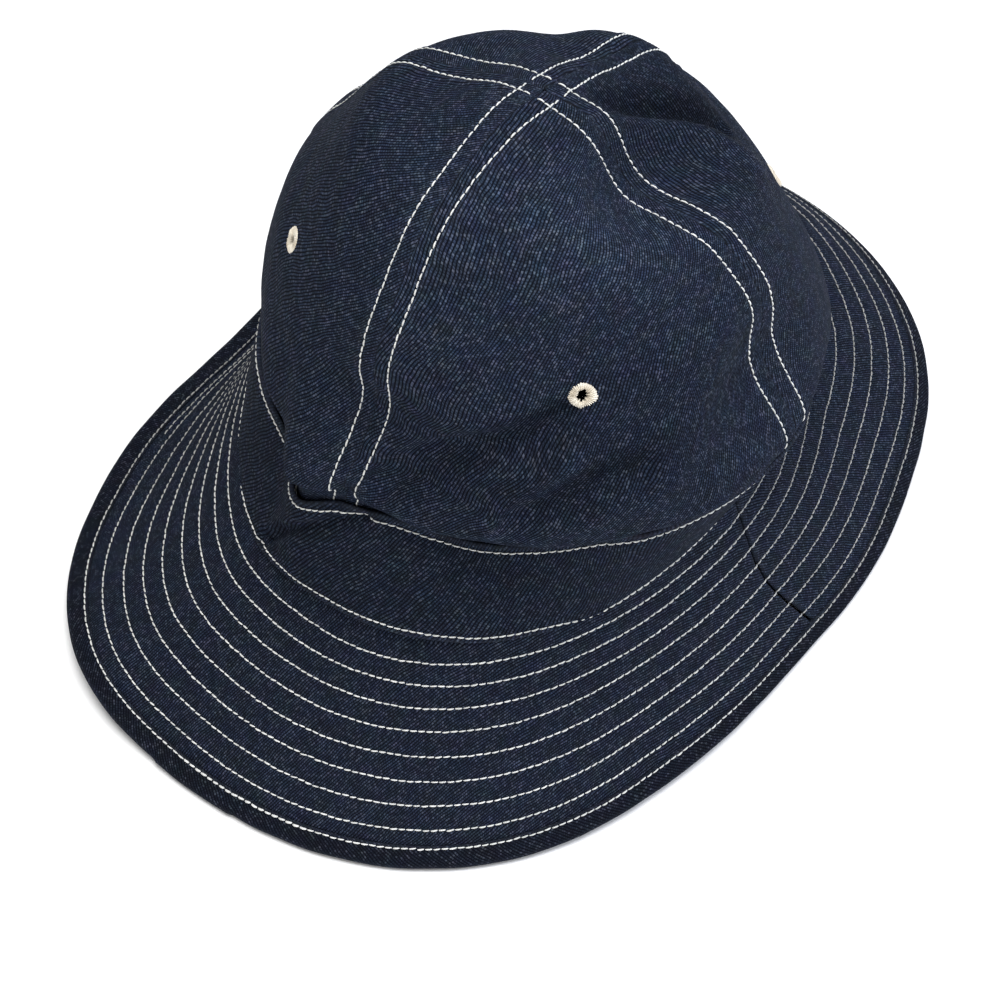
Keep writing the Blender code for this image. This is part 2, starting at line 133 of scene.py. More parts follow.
CROWN_OVAL = 0.03
CROWN_LEAN_LEFT = 10 * MM
CROWN_LEAN_BACK = -8 * MM
LEAN_POWER = 1.2
ROUND_FROM = 0.5
FOLDS_FROM = 0.08
STEEP = 12
SLANT = 1.0
BINDING_REST = 0.6 * BINDING_THICKNESS
TURN = 2 * np.pi

# How the cloth is sewn

# Stitch rows of the brim, as shares of its width; the last one holds the binding
BRIM_ROWS = [0.083, 0.178, 0.280, 0.384, 0.496, 0.605, 0.714, 0.823, 0.903]
STITCH_PITCH = 2.3 * MM
STITCH_LENGTH = 0.93
THREAD_RADIUS = 0.24 * MM
STITCH_SLANT = 0.06
SEAM_TWIN = 4.7 * MM
SEAM_STRIP = 5.9 * MM
SEAM_RAISE = 0.5 * MM
SEAM_SLOPE = 1.4 * MM
SEAM_SUNK = 0.28 * MM
BINDING_SHARE = 0.893

# How far the band's two edges wander from their even height, as shares of the band's height
Sewn = namedtuple("Sewn", "angle foot top")
SEWN = [
    Sewn(-80, 0.00, 0.00), Sewn(-48, -0.07, -0.05), Sewn(-34, -0.01, 0.00), Sewn(-18, 0.05, 0.00),
    Sewn(0, 0.09, 0.01), Sewn(14, 0.09, 0.07), Sewn(24, 0.07, 0.02), Sewn(34, 0.01, -0.05),
    Sewn(44, -0.02, 0.01), Sewn(52, -0.10, 0.08), Sewn(59, -0.06, 0.01), Sewn(68, 0.00, 0.00),
    Sewn(82, 0.04, 0.00), Sewn(110, 0.00, 0.00), Sewn(280, 0.00, 0.00),
]

# Where the brim's ends are sewn together: angle at each share of its width
Join = namedtuple("Join", "share angle")
BRIM_JOIN = [Join(0, 84.5), Join(0.35, 84.6), Join(0.53, 86), Join(0.68, 88), Join(0.81, 90), Join(1, 92.5)]


def column(table, name):
    """One column of a table."""
    return np.array([getattr(row, name) for row in table], float)


def through(keys, values, x):
    """Values at x on a smooth curve through the given points."""
    slopes = np.gradient(values)
    slopes[1:-1] = (values[2:] - values[:-2]) / (keys[2:] - keys[:-2])
    slopes[0] = (values[1] - values[0]) / (keys[1] - keys[0])
    slopes[-1] = (values[-1] - values[-2]) / (keys[-1] - keys[-2])
    i = np.clip(np.searchsorted(keys, x, side="right") - 1, 0, len(keys) - 2)
    step = keys[i + 1] - keys[i]
    u = (x - keys[i]) / step
    start = values[i] * (1 + 2 * u) * (1 - u) ** 2 + slopes[i] * step * u * (1 - u) ** 2
    end = values[i + 1] * u * u * (3 - 2 * u) - slopes[i + 1] * step * u * u * (1 - u)
    return start + end


def around(name, angle):
    """A column of the rim's table at any angle, as a closed curve."""
    keys = np.radians(column(RIM, "angle"))
    values = column(RIM, name)
    keys = np.concatenate([keys[-3:] - TURN, keys, keys[:3] + TURN])
    values = np.concatenate([values[-3:], values, values[:3]])
    return through(keys, values, np.mod(angle, TURN))


def up_crown(name, level):
    """A column of the crown's outline at any level."""
    return through(column(CROWN, "level"), column(CROWN, name), level)


def ease(x):
    """0 up to 0, 1 from 1 on, and a soft step between."""
    x = np.clip(x, 0, 1)
    return x * x * (3 - 2 * x)


def seam_ring(angle):
    """The oval seam where band and brim meet, and its outward directions."""
    half_width = OPENING_WIDTH / 2
    half_length = OPENING_LENGTH / 2
    sine, cosine = np.sin(angle), np.cos(angle)
    outward = np.stack([sine / half_width, -cosine / half_length, 0 * angle], -1)
    outward /= np.linalg.norm(outward, axis=-1)[..., None]
    height = BINDING_REST + BRIM_WIDTH * around("seam", angle)
    ring = np.stack([half_width * sine, -half_length * cosine, height], -1)
    return ring + outward * (half_width * around("out", angle))[..., None], outward


def brim_surface(angle, share):
    """Top of the brim: share 0 at the band, 1 at the edge, along the cloth."""
    angle, share = np.broadcast_arrays(angle, share)
    start, outward = seam_ring(angle)
    start[..., 2] -= BAND_THICKNESS
    drop = start[..., 2] - BINDING_REST - BRIM_WIDTH * around("edge", angle)
    bow = BRIM_WIDTH * around("bow", angle)
    reach = np.sqrt(np.maximum(BRIM_WIDTH ** 2 - drop ** 2 - 16 / 3 * bow ** 2, (BRIM_WIDTH / 9) ** 2))
    steps = np.linspace(0, 1, 33)
    middle = (steps[1:] + steps[:-1]) / 2
    slope = 4 * bow[..., None] * (1 - 2 * middle) - drop[..., None]
    length = np.cumsum(np.hypot(reach[..., None], slope), -1)
    length = np.concatenate([0 * length[..., :1], length], -1) / length[..., -1:]
    rows = zip(share.ravel(), length.reshape(-1, len(steps)))
    flat = np.array([np.interp(s, lengths, steps) for s, lengths in rows]).reshape(share.shape)
    point = start + outward * (reach * flat)[..., None]
    point[..., 2] = start[..., 2] - drop * flat + 4 * bow * flat * (1 - flat)
    return point


def band_top(angle):
    """The band's top stitch line, and its outward directions."""
    ring, outward = seam_ring(angle)
    top = ring - outward * (BAND_HEIGHT * around("lean", angle))[..., None]
    top[..., 2] += BAND_HEIGHT * around("rise", angle)
    return top, outward


def band_surface(angle, share):
    """Outside of the band: share 0 just above the brim, 1 at its top hem."""
    angle, share = np.broadcast_arrays(angle, share)
    bottom, _ = seam_ring(angle)
    top, _ = band_top(angle)
    bottom[..., 2] -= BAND_THICKNESS - CLEARANCE
    up = top - bottom
    top = top + up / np.linalg.norm(up, axis=-1)[..., None] * BAND_HEM
    return bottom + (top - bottom) * share[..., None]


def band_axes(angle):
    """The band's directions at its top: up along its wall, and inwards through it."""
    top, outward = band_top(angle)
    bottom, _ = seam_ring(angle)
    up = top - bottom
    up /= np.linalg.norm(up, axis=-1)[..., None]
    inward = up * (up * outward).sum(-1)[..., None] - outward
    inward /= np.linalg.norm(inward, axis=-1)[..., None]
    return up, inward


def rest_on_band(point, angle):
    """Lift the slack crown where it would sink into the band's top edge."""
    up, inward = band_axes(angle)
    apart = point - band_surface(angle, 1)
    inside = (apart * inward).sum(-1)
    above = (apart * up).sum(-1)
    beyond = np.maximum(inside - BAND_THICKNESS, 0) * STEEP + np.maximum(-inside, 0) * SLANT
    short = PANEL_THICKNESS + CROWN_EASE - beyond - above
    return point + up * np.maximum(short, 0)[..., None]


def flat_place(angle, level):
    """Where a point of the crown lies when its cloth is laid flat, in shares."""
    return np.stack([(1 - level) * np.sin(angle), (1 - level) * np.cos(angle)], -1)


def off_line(here, start, stop):
    """From the nearest point of a straight line to each point."""
    run = stop - start
    along = np.clip((here - start) @ run / (run @ run), 0, 1)
    return here - start - along[..., None] * run


def crease_shift(creases, angle, level):
    """How a list of creases moves the crown's points."""
    shift = np.zeros(np.shape(angle) + (3,))
    here = flat_place(angle, level)
    for crease in creases:
        start = flat_place(np.radians(crease.angle), crease.level)
        stop = flat_place(np.radians(crease.to_angle), crease.to_level)
        away = np.linalg.norm(off_line(here, start, stop), axis=-1)
        weight = ease(level / FOLDS_FROM) * np.exp(-(away / crease.width) ** 2)
        turn = np.radians((crease.angle + crease.to_angle) / 2)
        moves = np.array([crease.push * np.sin(turn), -crease.push * np.cos(turn), crease.lift])
        shift += CROWN_RISE * weight[..., None] * moves
    return shift


def crown_surface(angle, level):
    """Outside of the crown: level 0 at the band's top edge, 1 at the crossing on top."""
    angle, level = np.broadcast_arrays(angle, level)
    _, inward = band_axes(angle)
    ring = band_surface(angle, 1) + inward * (BAND_THICKNESS + CROWN_EASE)
    radius = up_crown("radius", level)
    height = up_crown("height", level)
    half = CROWN_WIDTH / 2
    oval = np.stack([np.sin(angle) * (1 - CROWN_OVAL), -np.cos(angle) * (1 + CROWN_OVAL)], -1) * half
    share = ease(level / ROUND_FROM)[..., None]
    flat = ring[..., :2] * (1 - share) + oval * share
    lean = level ** LEAN_POWER
    top = CROWN_FOOT + CROWN_RISE
    point = np.stack([flat[..., 0] * radius + CROWN_LEAN_LEFT * lean,
                      flat[..., 1] * radius + CROWN_LEAN_BACK * lean,
                      ring[..., 2] * (1 - height) + top * height], -1)
    for fold in FOLDS:
        turn = np.radians(fold.angle)
        away = (1 - level) * np.cos(angle - turn) - (1 - fold.level)
        aside = (1 - level) * np.sin(angle - turn)
        weight = ease(level / FOLDS_FROM) * np.exp(-(away / fold.along) ** 2 - (aside / fold.across) ** 2)
        point[..., 0] += CROWN_RISE * fold.push * weight * np.sin(turn)
        point[..., 1] -= CROWN_RISE * fold.push * weight * np.cos(turn)
        point[..., 2] += CROWN_RISE * fold.lift * weight
    point += crease_shift(CREASES, angle, level)
    return rest_on_band(point, angle)


def middle_of_brim(angles):
    """The point on the floor under the middle of the brim's outline."""
    edge = brim_surface(angles, 1)
    low, high = edge.min(0), edge.max(0)
    return np.array([(low[0] + high[0]) / 2, (low[1] + high[1]) / 2, 0])


RING_ANGLES = np.linspace(0, TURN, 72, endpoint=False)
CROWN_FOOT = band_top(RING_ANGLES)[0][:, 2].mean()
HAT_CENTRE = middle_of_brim(RING_ANGLES)


# Cloth and thread as meshes


def unit(vectors):
    return vectors / np.maximum(np.linalg.norm(vectors, axis=-1), 1e-12)[..., None]


def grid_normals(points, towards):
    """Unit normals of a grid of points, on the side that the towards vectors show."""
    normal = np.cross(np.gradient(points, axis=0), np.gradient(points, axis=1))
    normal *= np.where((normal * towards).sum(-1) < 0, -1.0, 1.0)[..., None]
    return unit(normal)


def ripples(points, size, pattern):
    """Soft random relief from -1 to 1, with bumps of the given size."""
    flat = points.reshape(-1, 3) / size + pattern
    values = np.array([noise.noise(Vector(p)) for p in flat])
    return values.reshape(points.shape[:-1])


# Layers of soft relief on a cloth, in millimetres: how high, how wide, and which random pattern
Ripple = namedtuple("Ripple", "height size pattern")
BRIM_RIPPLES = [Ripple(0.16, 7, 0), Ripple(0.30, 28, 9)]
BAND_RIPPLES = [Ripple(0.45, 24, 3), Ripple(0.14, 6, 7)]
CROWN_RIPPLES = [Ripple(0.80, 26, 5), Ripple(0.25, 11, 8), Ripple(0.10, 6, 2)]


def rippled(points, layers):
    """The layers of relief at each point of a cloth."""
    return sum(row.height * MM * ripples(points, row.size * MM, row.pattern) for row in layers)


def run_along(points):
    """Distance from the first point along a line of points."""
    return np.concatenate([[0], np.cumsum(np.linalg.norm(np.diff(points, axis=0), axis=-1))])


def bell(away, reach):
    """1 where away is 0, fading out over the reach."""
    return np.exp(-(away / reach) ** 2)


# How rubbed the cloth is at its edges and seams, and how far that reaches
Wear = namedtuple("Wear", "level reach")
JOIN_WEAR = Wear(0.25, 1.2 * MM)
TAPE_FOLD_WEAR = Wear(0.30, 0.5 * MM)
TAPE_EDGE_WEAR = Wear(0.35, 0.8 * MM)
BAND_WEAR = Wear(0.5, 0.9 * MM)
SEAM_WEAR = Wear(0.22, 0.6 * MM)
STRIP_WEAR = Wear(0.10, 0.9 * MM)


def wear_at(away, wear):
    """How rubbed the cloth is at a distance from an edge."""
    return wear.level * bell(away, wear.reach)


def quads(index):
    """The squares of a grid of point numbers, four corners each."""
    return np.stack([index[:-1, :-1], index[1:, :-1], index[1:, 1:], index[:-1, 1:]], -1).reshape(-1, 4)


def cloth_mesh(name, corners, faces, laid_flat, places, levels):
    """A mesh with its place on the flat cloth and a level of each named kind at its points."""
    mesh = bpy.data.meshes.new(name)
    mesh.from_pydata(corners.tolist(), [], faces.tolist())
    layer = mesh.uv_layers.new(name="cloth_mm")
    layer.data.foreach_set("uv", laid_flat.reshape(-1, 2)[places.reshape(-1)].astype(np.float32).ravel())
    for kind, values in levels.items():
        attribute = mesh.attributes.new(kind, "FLOAT", "POINT")
        attribute.data.foreach_set("value", values.astype(np.float32).ravel())
    return mesh


def hole_rim(hole):
    """Pairs of grid points along the edge of a hole, in the order of the cut squares."""
    rim = []
    for i, j in zip(*np.nonzero(hole)):
        corners = [(i, j), (i + 1, j), (i + 1, j + 1), (i, j + 1)]
        beyond = [(i, j - 1), (i + 1, j), (i, j + 1), (i - 1, j)]
        for side in range(4):
            if not hole[beyond[side]]:
                rim.append((corners[side], corners[(side + 1) % 4]))
    return rim


def cloth_piece(name, top, up, thickness, to_edge, laid_flat, finish, nodes,
                worn, closed=False, painted_light_and_shade=None, hole=None):
    """A wall of cloth with rounded edges.

    top is a grid of points, up its outward normals, to_edge each point's distance along the cloth
    to the nearest free edge, laid_flat its place on the flat cloth in millimetres, and hole marks
    the grid's squares that are cut out.
    """
    columns, rows = top.shape[:2]
    half = thickness / 2
    rounding = 1 - np.clip(to_edge / half, 0, 1)
    depth = half * np.sqrt(1 - rounding ** 2)
    middle = top - up * half
    outer = middle + up * depth[..., None]
    inner = middle - up * depth[..., None]
    flat_index = np.arange(columns * rows).reshape(columns, rows)
    outside = flat_index.copy()
    inside = np.where(to_edge <= 1e-9, outside, outside + columns * rows)
    if closed:
        outside[-1] = outside[0]
        inside[-1] = inside[0]
    corners = np.concatenate([outer.reshape(-1, 3), inner.reshape(-1, 3)]) - HAT_CENTRE
    turned = np.cross(top[1:, :-1] - top[:-1, :-1], top[:-1, 1:] - top[:-1, :-1])
    facing = (turned * up[:-1, :-1]).sum()
    kept = np.ones((columns - 1) * (rows - 1), bool) if hole is None else ~hole.ravel()
    faces = [quads(outside)[kept], quads(inside)[kept][:, ::-1]]
    places = [quads(flat_index)[kept], quads(flat_index)[kept][:, ::-1]]
    if hole is not None:
        for a, b in hole_rim(hole):
            faces.append([[outside[a], outside[b], inside[b], inside[a]]])
            places.append([[flat_index[a], flat_index[b], flat_index[b], flat_index[a]]])
    faces = np.concatenate(faces)
    places = np.concatenate(places)
    if facing < 0:
        faces, places = faces[:, ::-1], places[:, ::-1]
    used, compact = np.unique(faces, return_inverse=True)
    # Beside the wear, each point keeps the painted highlights and painted shade of the crown
    painted_light_and_shade = np.zeros(top.shape[:2]) if painted_light_and_shade is None else painted_light_and_shade
    levels = {"worn": np.tile(worn.ravel(), 2)[used], "painted_light_and_shade": np.tile(painted_light_and_shade.ravel(), 2)[used]}
    mesh = cloth_mesh(name, corners[used], compact.reshape(faces.shape), laid_flat, places, levels)
    mesh.validate()
    return place_piece(name, mesh, finish, nodes)


def place_piece(name, mesh, finish, nodes):
    """An object of the mesh that rides on the hat's one body."""
    mesh.shade_smooth()
    mesh.materials.append(finish)
    piece = bpy.data.objects.new(name, mesh)
    bpy.context.scene.collection.objects.link(piece)
    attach(piece, "root")
    if nodes:
        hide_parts(*nodes)
    return piece


# Materials


def linear(hex_colour):
    """An sRGB hex colour in linear light, with full opacity."""
    parts = [int(hex_colour[i:i + 2], 16) / 255 for i in (1, 3, 5)]
    return [c / 12.92 if c <= 0.04045 else ((c + 0.055) / 1.055) ** 2.4 for c in parts] + [1]


def add(tree, kind, settings=None, inputs=None):
    """Add a shader node. An input is a value, or else a node or a socket that links into it."""
    node = tree.nodes.new(kind)
    for key, value in (settings or {}).items():
        setattr(node, key, value)
    for key, value in (inputs or {}).items():
        if isinstance(value, bpy.types.Node):
            value = value.outputs[0]
        if isinstance(value, bpy.types.NodeSocket):
            tree.links.new(value, node.inputs[key])
        else:
            node.inputs[key].default_value = value
    return node


FLOAT_LENGTH = 0.80
INDIGO_DEEP = "#0a0c14"
INDIGO_RIB = "#3b475d"
WEFT_FLECK = "#6a7080"
SOOTY = "#0b0b0e"
RUBBED = "#444955"

# Unevenness of the cloth at several scales, per millimetre: how fine the clouds are, the part of
# their range that is used, and the levels that it gives
Clouds = namedtuple("Clouds", "name scale detail roughness low high least most")
CLOUDS = [
    Clouds("fuzz", 2.4, 2, 0.6, 0.32, 0.68, 0.35, 1.40),
    Clouds("smoke", 0.045, 3, 0.6, 0.50, 0.72, 0.00, 0.40),
    Clouds("mottle", 0.3, 5, 0.7, 0.30, 0.70, 0.93, 1.07),
]


def denim(name, twill_turn, spacing, rib=INDIGO_RIB, flecks=0.45):
    """Raw indigo denim, a 3/1 twill of blue warp over undyed weft, stiff and hardly washed.

    The eye sees fine diagonal ribs about a millimetre apart, each a chain of short floats that took
    the dye unevenly, with near black gaps between and whitish specks where the weft shows.
    """
    cloth = bpy.data.materials.new(name)
    cloth.use_nodes = True
    tree = cloth.node_tree
    tree.nodes.clear()
    place = add(tree, "ShaderNodeUVMap", {"uv_map": "cloth_mm"})
    drift = add(tree, "ShaderNodeTexNoise", {},
                {"Vector": place, "Scale": 0.10, "Detail": 4.0, "Roughness": 0.45})
    nudge = add(tree, "ShaderNodeVectorMath", {"operation": "MULTIPLY_ADD"},
                {0: drift.outputs["Color"], 1: (2.2, 2.2, 0), 2: place})
    turned = add(tree, "ShaderNodeMapping", {"vector_type": "POINT"},
                 {"Vector": nudge, "Rotation": (0, 0, np.radians(90 - twill_turn))})
    split = add(tree, "ShaderNodeSeparateXYZ", {}, {0: turned})
    lines = add(tree, "ShaderNodeMath", {"operation": "DIVIDE"}, {0: split.outputs["X"], 1: spacing})

    # The floats of one rib, out of step with the next rib's, each with its own depth of dye
    number = add(tree, "ShaderNodeMath", {"operation": "FLOOR"}, {0: lines})
    start = add(tree, "ShaderNodeTexWhiteNoise", {"noise_dimensions": "1D"}, {"W": number})
    along = add(tree, "ShaderNodeMath", {"operation": "MULTIPLY_ADD"},
                {0: split.outputs["Y"], 1: 1 / FLOAT_LENGTH, 2: start})
    cell = add(tree, "ShaderNodeMath", {"operation": "FLOOR"}, {0: along})
    spot = add(tree, "ShaderNodeCombineXYZ", {}, {0: number, 1: cell})
    dye = add(tree, "ShaderNodeTexWhiteNoise", {"noise_dimensions": "2D"}, {"Vector": spot})

    # Round humps across the ribs, and along the floats of each
    humps = []
    for count, low, high, least in ((lines, 0.35, 0.95, 0), (along, 0.25, 0.85, 0.35)):
        phase = add(tree, "ShaderNodeMath", {"operation": "MULTIPLY"}, {0: count, 1: np.pi})
        wave = add(tree, "ShaderNodeMath", {"operation": "SINE"}, {0: phase})
        hump = add(tree, "ShaderNodeMath", {"operation": "ABSOLUTE"}, {0: wave})
        humps.append(add(tree, "ShaderNodeMapRange", {"clamp": True},
                         {"Value": hump, "From Min": low, "From Max": high, "To Min": least}))
    chained = add(tree, "ShaderNodeMath", {"operation": "MULTIPLY"}, {0: humps[0], 1: humps[1]})
    clouds = {}
    for row in CLOUDS:
        cloud = add(tree, "ShaderNodeTexNoise", {},
                    {"Vector": place, "Scale": row.scale, "Detail": row.detail, "Roughness": row.roughness})
        clouds[row.name] = add(tree, "ShaderNodeMapRange", {"clamp": True},
                               {"Value": cloud, "From Min": row.low, "From Max": row.high,
                                "To Min": row.least, "To Max": row.most})
    grain = add(tree, "ShaderNodeMath", {"operation": "MULTIPLY", "use_clamp": True},
                {0: chained, 1: clouds["fuzz"]})
    dye_level = add(tree, "ShaderNodeMapRange", {"clamp": True},
                    {"Value": dye, "To Min": 0.42, "To Max": 1.0})
    slub_place = add(tree, "ShaderNodeMapping", {}, {"Vector": place, "Scale": (0.75, 0.28, 1)})
    slub = add(tree, "ShaderNodeTexNoise", {},
               {"Vector": slub_place, "Scale": 1.0, "Detail": 4.0, "Roughness": 0.75})
    slub_level = add(tree, "ShaderNodeMapRange", {"clamp": True},
                     {"Value": slub, "From Min": 0.33, "From Max": 0.70, "To Min": 0.80, "To Max": 1.15})
    dyed = add(tree, "ShaderNodeMath", {"operation": "MULTIPLY"}, {0: grain, 1: dye_level})
    thread_level = add(tree, "ShaderNodeMath", {"operation": "MULTIPLY", "use_clamp": True},
                       {0: dyed, 1: slub_level})
    speck = add(tree, "ShaderNodeMapRange", {"clamp": True},
                {"Value": dye, "From Min": 0.70, "From Max": 1.0, "To Max": flecks})
    speck_level = add(tree, "ShaderNodeMath", {"operation": "MULTIPLY"}, {0: speck, 1: grain})
    speck_patchy = add(tree, "ShaderNodeMath", {"operation": "MULTIPLY", "use_clamp": True},
                       {0: speck_level, 1: slub_level})

    # The dye from the deep ground up: smoky patches, blue ribs, weft specks and rubbed edges
    worn = add(tree, "ShaderNodeAttribute", {"attribute_name": "worn"})
    rubbed = add(tree, "ShaderNodeMath", {"operation": "MULTIPLY", "use_clamp": True},
                 {0: worn.outputs["Fac"], 1: slub})
    colour = linear(INDIGO_DEEP)
    layers = ((clouds["smoke"], SOOTY), (thread_level, rib), (speck_patchy, WEFT_FLECK), (rubbed, RUBBED))
    for share, layer in layers:
        mixed = add(tree, "ShaderNodeMix", {"data_type": "RGBA"},
                    {"Factor": share, "A": colour, "B": linear(layer)})
        colour = mixed.outputs["Result"]
    toned = add(tree, "ShaderNodeVectorMath", {"operation": "SCALE"},
                {0: colour, "Scale": clouds["mottle"]})

    # The vat dye runs from violet to teal in patches a few millimetres wide
    vat = add(tree, "ShaderNodeTexNoise", {},
              {"Vector": place, "Scale": 0.16, "Detail": 3.0, "Roughness": 0.6})
    tint = add(tree, "ShaderNodeVectorMath", {"operation": "MULTIPLY_ADD"},
               {0: vat.outputs["Color"], 1: (0.62, 0.38, 0.62), 2: (0.69, 0.81, 0.69)})
    tinted = add(tree, "ShaderNodeVectorMath", {"operation": "MULTIPLY"}, {0: toned, 1: tint})

    # Painted light and shade on the slack crown: lighter on its upper front and ridges, darker in its folds
    # and hollows
    painted_light_and_shade_node = add(tree, "ShaderNodeAttribute", {"attribute_name": "painted_light_and_shade"})
    painted_light_and_shade_level = add(tree, "ShaderNodeMath", {"operation": "ADD"}, {0: painted_light_and_shade_node.outputs["Fac"], 1: 1.0})
    colour = add(tree, "ShaderNodeVectorMath", {"operation": "SCALE"}, {0: tinted, "Scale": painted_light_and_shade_level})

    height = add(tree, "ShaderNodeMath", {"operation": "MULTIPLY_ADD"}, {0: grain, 1: 0.8, 2: slub})
    bump = add(tree, "ShaderNodeBump", {}, {"Height": height, "Strength": 0.6, "Distance": 0.2 * MM})
    shader = add(tree, "ShaderNodeBsdfPrincipled", {},
                 {"Base Color": colour, "Normal": bump, "Roughness": 0.95, "Specular IOR Level": 0.05})
    add(tree, "ShaderNodeOutputMaterial", {}, {"Surface": shader})
    return cloth


def cotton_thread(name, colour, shade):
    """Undyed three-ply sewing thread: soft, with the twist of its plies as fine slant lines."""
    thread = bpy.data.materials.new(name)
    thread.use_nodes = True
    tree = thread.node_tree
    tree.nodes.clear()
    place = add(tree, "ShaderNodeUVMap", {"uv_map": "cloth_mm"})
    turned = add(tree, "ShaderNodeMapping", {}, {"Vector": place, "Rotation": (0, 0, np.radians(35))})
    plies = add(tree, "ShaderNodeTexWave", {"bands_direction": "X"},
                {"Vector": turned, "Scale": 0.75, "Distortion": 0.6, "Detail": 1.0})
    position = add(tree, "ShaderNodeNewGeometry").outputs["Position"]
    uneven = add(tree, "ShaderNodeTexNoise", {}, {"Vector": position, "Scale": 260.0, "Detail": 2.0})
    level = add(tree, "ShaderNodeMapRange", {"clamp": True},
                {"Value": uneven, "From Min": 0.35, "From Max": 0.65})
    base = add(tree, "ShaderNodeMix", {"data_type": "RGBA"},
               {"Factor": level, "A": linear(shade), "B": linear(colour)})
    twist = add(tree, "ShaderNodeMapRange", {}, {"Value": plies.outputs["Fac"], "To Min": 0.82})
    # Painted shade: each stitch's thread is darkened by its level of painted shade
    thread_painted_shade = add(tree, "ShaderNodeAttribute", {"attribute_name": "thread_painted_shade"})
    unshaded = add(tree, "ShaderNodeMath", {"operation": "SUBTRACT"}, {0: 1.0, 1: thread_painted_shade.outputs["Fac"]})
    brightness = add(tree, "ShaderNodeMath", {"operation": "MULTIPLY"}, {0: unshaded, 1: twist})
    toned = add(tree, "ShaderNodeVectorMath", {"operation": "SCALE"},
                {0: base.outputs["Result"], "Scale": brightness})
    bump = add(tree, "ShaderNodeBump", {},
               {"Height": plies.outputs["Fac"], "Strength": 0.4, "Distance": 0.08 * MM})
    shader = add(tree, "ShaderNodeBsdfPrincipled", {},
                 {"Base Color": toned, "Normal": bump, "Roughness": 0.75, "Specular IOR Level": 0.3,
                  "Sheen Weight": 0.2, "Sheen Roughness": 0.4})
    add(tree, "ShaderNodeOutputMaterial", {}, {"Surface": shader})
    return thread


# Each cloth's twill direction in degrees and the spacing of its ribs, in millimetres as they look
# in the photo: close to those of real denim of this weight
CROWN_DENIM = denim("crown_denim", 55, 0.90)
BAND_DENIM = denim("band_denim", 58, 1.05, rib="#343f52", flecks=0.35)
BRIM_DENIM = denim("brim_denim", 64, 0.88, rib="#384256", flecks=0.30)
BINDING_DENIM = denim("binding_denim", 40, 0.84, rib="#272d39", flecks=0.30)
STITCH_THREAD = cotton_thread("off_white_topstitch_thread", "#f5f5f1", "#d8d9d5")
EYELET_THREAD = cotton_thread("ecru_buttonhole_thread", "#f3ecdd", "#d8cdb9")

# Brim


def join_angle(share):
    """Angle of the brim's one seam at each share of its width."""
    return np.radians(np.interp(share, column(BRIM_JOIN, "share"), column(BRIM_JOIN, "angle")))


QUILT_DEPTH = 0.38 * MM
QUILT_WIDTH = 1.1 * MM
TUCK_INSET = 0.5 * MM
JOIN_GAP = 0.35 * MM
BRIM_CLOTH = 2.2 * MM
MEAN_RADIUS = 100 * MM
BRIM_STEPS = 460
JOIN_ROUNDING = 0.0016

# Where the grid across the brim has its lines: millimetres beside each stitch row, and shares of
# the width past each row, at the foot and at the edge
BESIDE_ROW = [-1.5, -0.8, -0.35, 0, 0.35, 0.8, 1.5]
PAST_ROW = [0.042, 0.052, 0.062]
FOOT_SHARES = [-0.09, -0.06, -0.03, -0.012, 0.0, 0.012, 0.03, 0.05]
EDGE_SHARES = [0.885, 0.9, 0.915]
EDGE_FROM = 0.888


def brim_relief(angle, share, points):
    """How far the quilted brim stands out from its smooth form, sunk along its stitch rows."""
    relief = np.zeros(share.shape)
    for row in BRIM_ROWS:
        relief -= QUILT_DEPTH * bell((share - row) * BRIM_WIDTH, QUILT_WIDTH)
    return relief + rippled(points, BRIM_RIPPLES)


def brim_cloth_surface(angle, share):
    """The brim's quilted top and its normals, on a grid of angles and shares."""
    points = brim_surface(angle, share)
    bottom, outward = seam_ring(angle)
    top, _ = band_top(angle)
    climb = np.maximum(-share, 0) * BRIM_WIDTH
    inset = np.minimum(climb, TUCK_INSET)
    points = points + unit(top - bottom) * climb[..., None] - outward * inset[..., None]
    up = grid_normals(points, np.array([0, 0, 1.0]) + outward)
    points = points + up * brim_relief(angle, share, points)[..., None]
    return points, up


def rounded_end(edge, count=4):
    """Steps from 0 to edge, finest at 0, for a rounded edge."""
    return edge * (1 - np.cos(np.linspace(0, np.pi / 2, count)))


def steps_with_edges(start, stop, count, edge):
    """Even steps from start to stop with finer ones near both ends, for rounded edges."""
    fine = rounded_end(edge)
    even = np.linspace(start + 1.6 * edge, stop - 1.6 * edge, count)
    return np.concatenate([start + fine, even, (stop - fine)[::-1]])


def make_brim():
    """The brim: several layers of denim quilted together by concentric rows of stitches."""
    near = np.array(BESIDE_ROW) * MM / BRIM_WIDTH
    shares = list(FOOT_SHARES)
    for row in BRIM_ROWS[:-1]:
        shares += list(row + near) + [row + past for past in PAST_ROW]
    shares = np.unique(np.round([s for s in shares if s < EDGE_FROM] + EDGE_SHARES, 5))
    girth = TURN * MEAN_RADIUS
    turn = steps_with_edges(JOIN_GAP / girth, 1 - JOIN_GAP / girth, BRIM_STEPS, JOIN_ROUNDING)
    share = np.broadcast_to(shares, (len(turn), len(shares)))
    angle = join_angle(share) + TURN * turn[:, None]
    points, up = brim_cloth_surface(angle, share)
    ends = (np.minimum(turn, 1 - turn)[:, None] - turn[0]) * girth
    sides = np.minimum(share - share.min(), share.max() - share) * BRIM_WIDTH
    to_edge = np.minimum(ends, sides)
    ring, outward = seam_ring(angle)
    flat = (ring[..., :2] + outward[..., :2] * (share * BRIM_WIDTH)[..., None]) / MM
    worn = wear_at(ends, JOIN_WEAR) + 0 * share
    return cloth_piece("brim_cloth", points, up, BRIM_CLOTH, to_edge, flat, BRIM_DENIM,
                       ["brim"], worn)


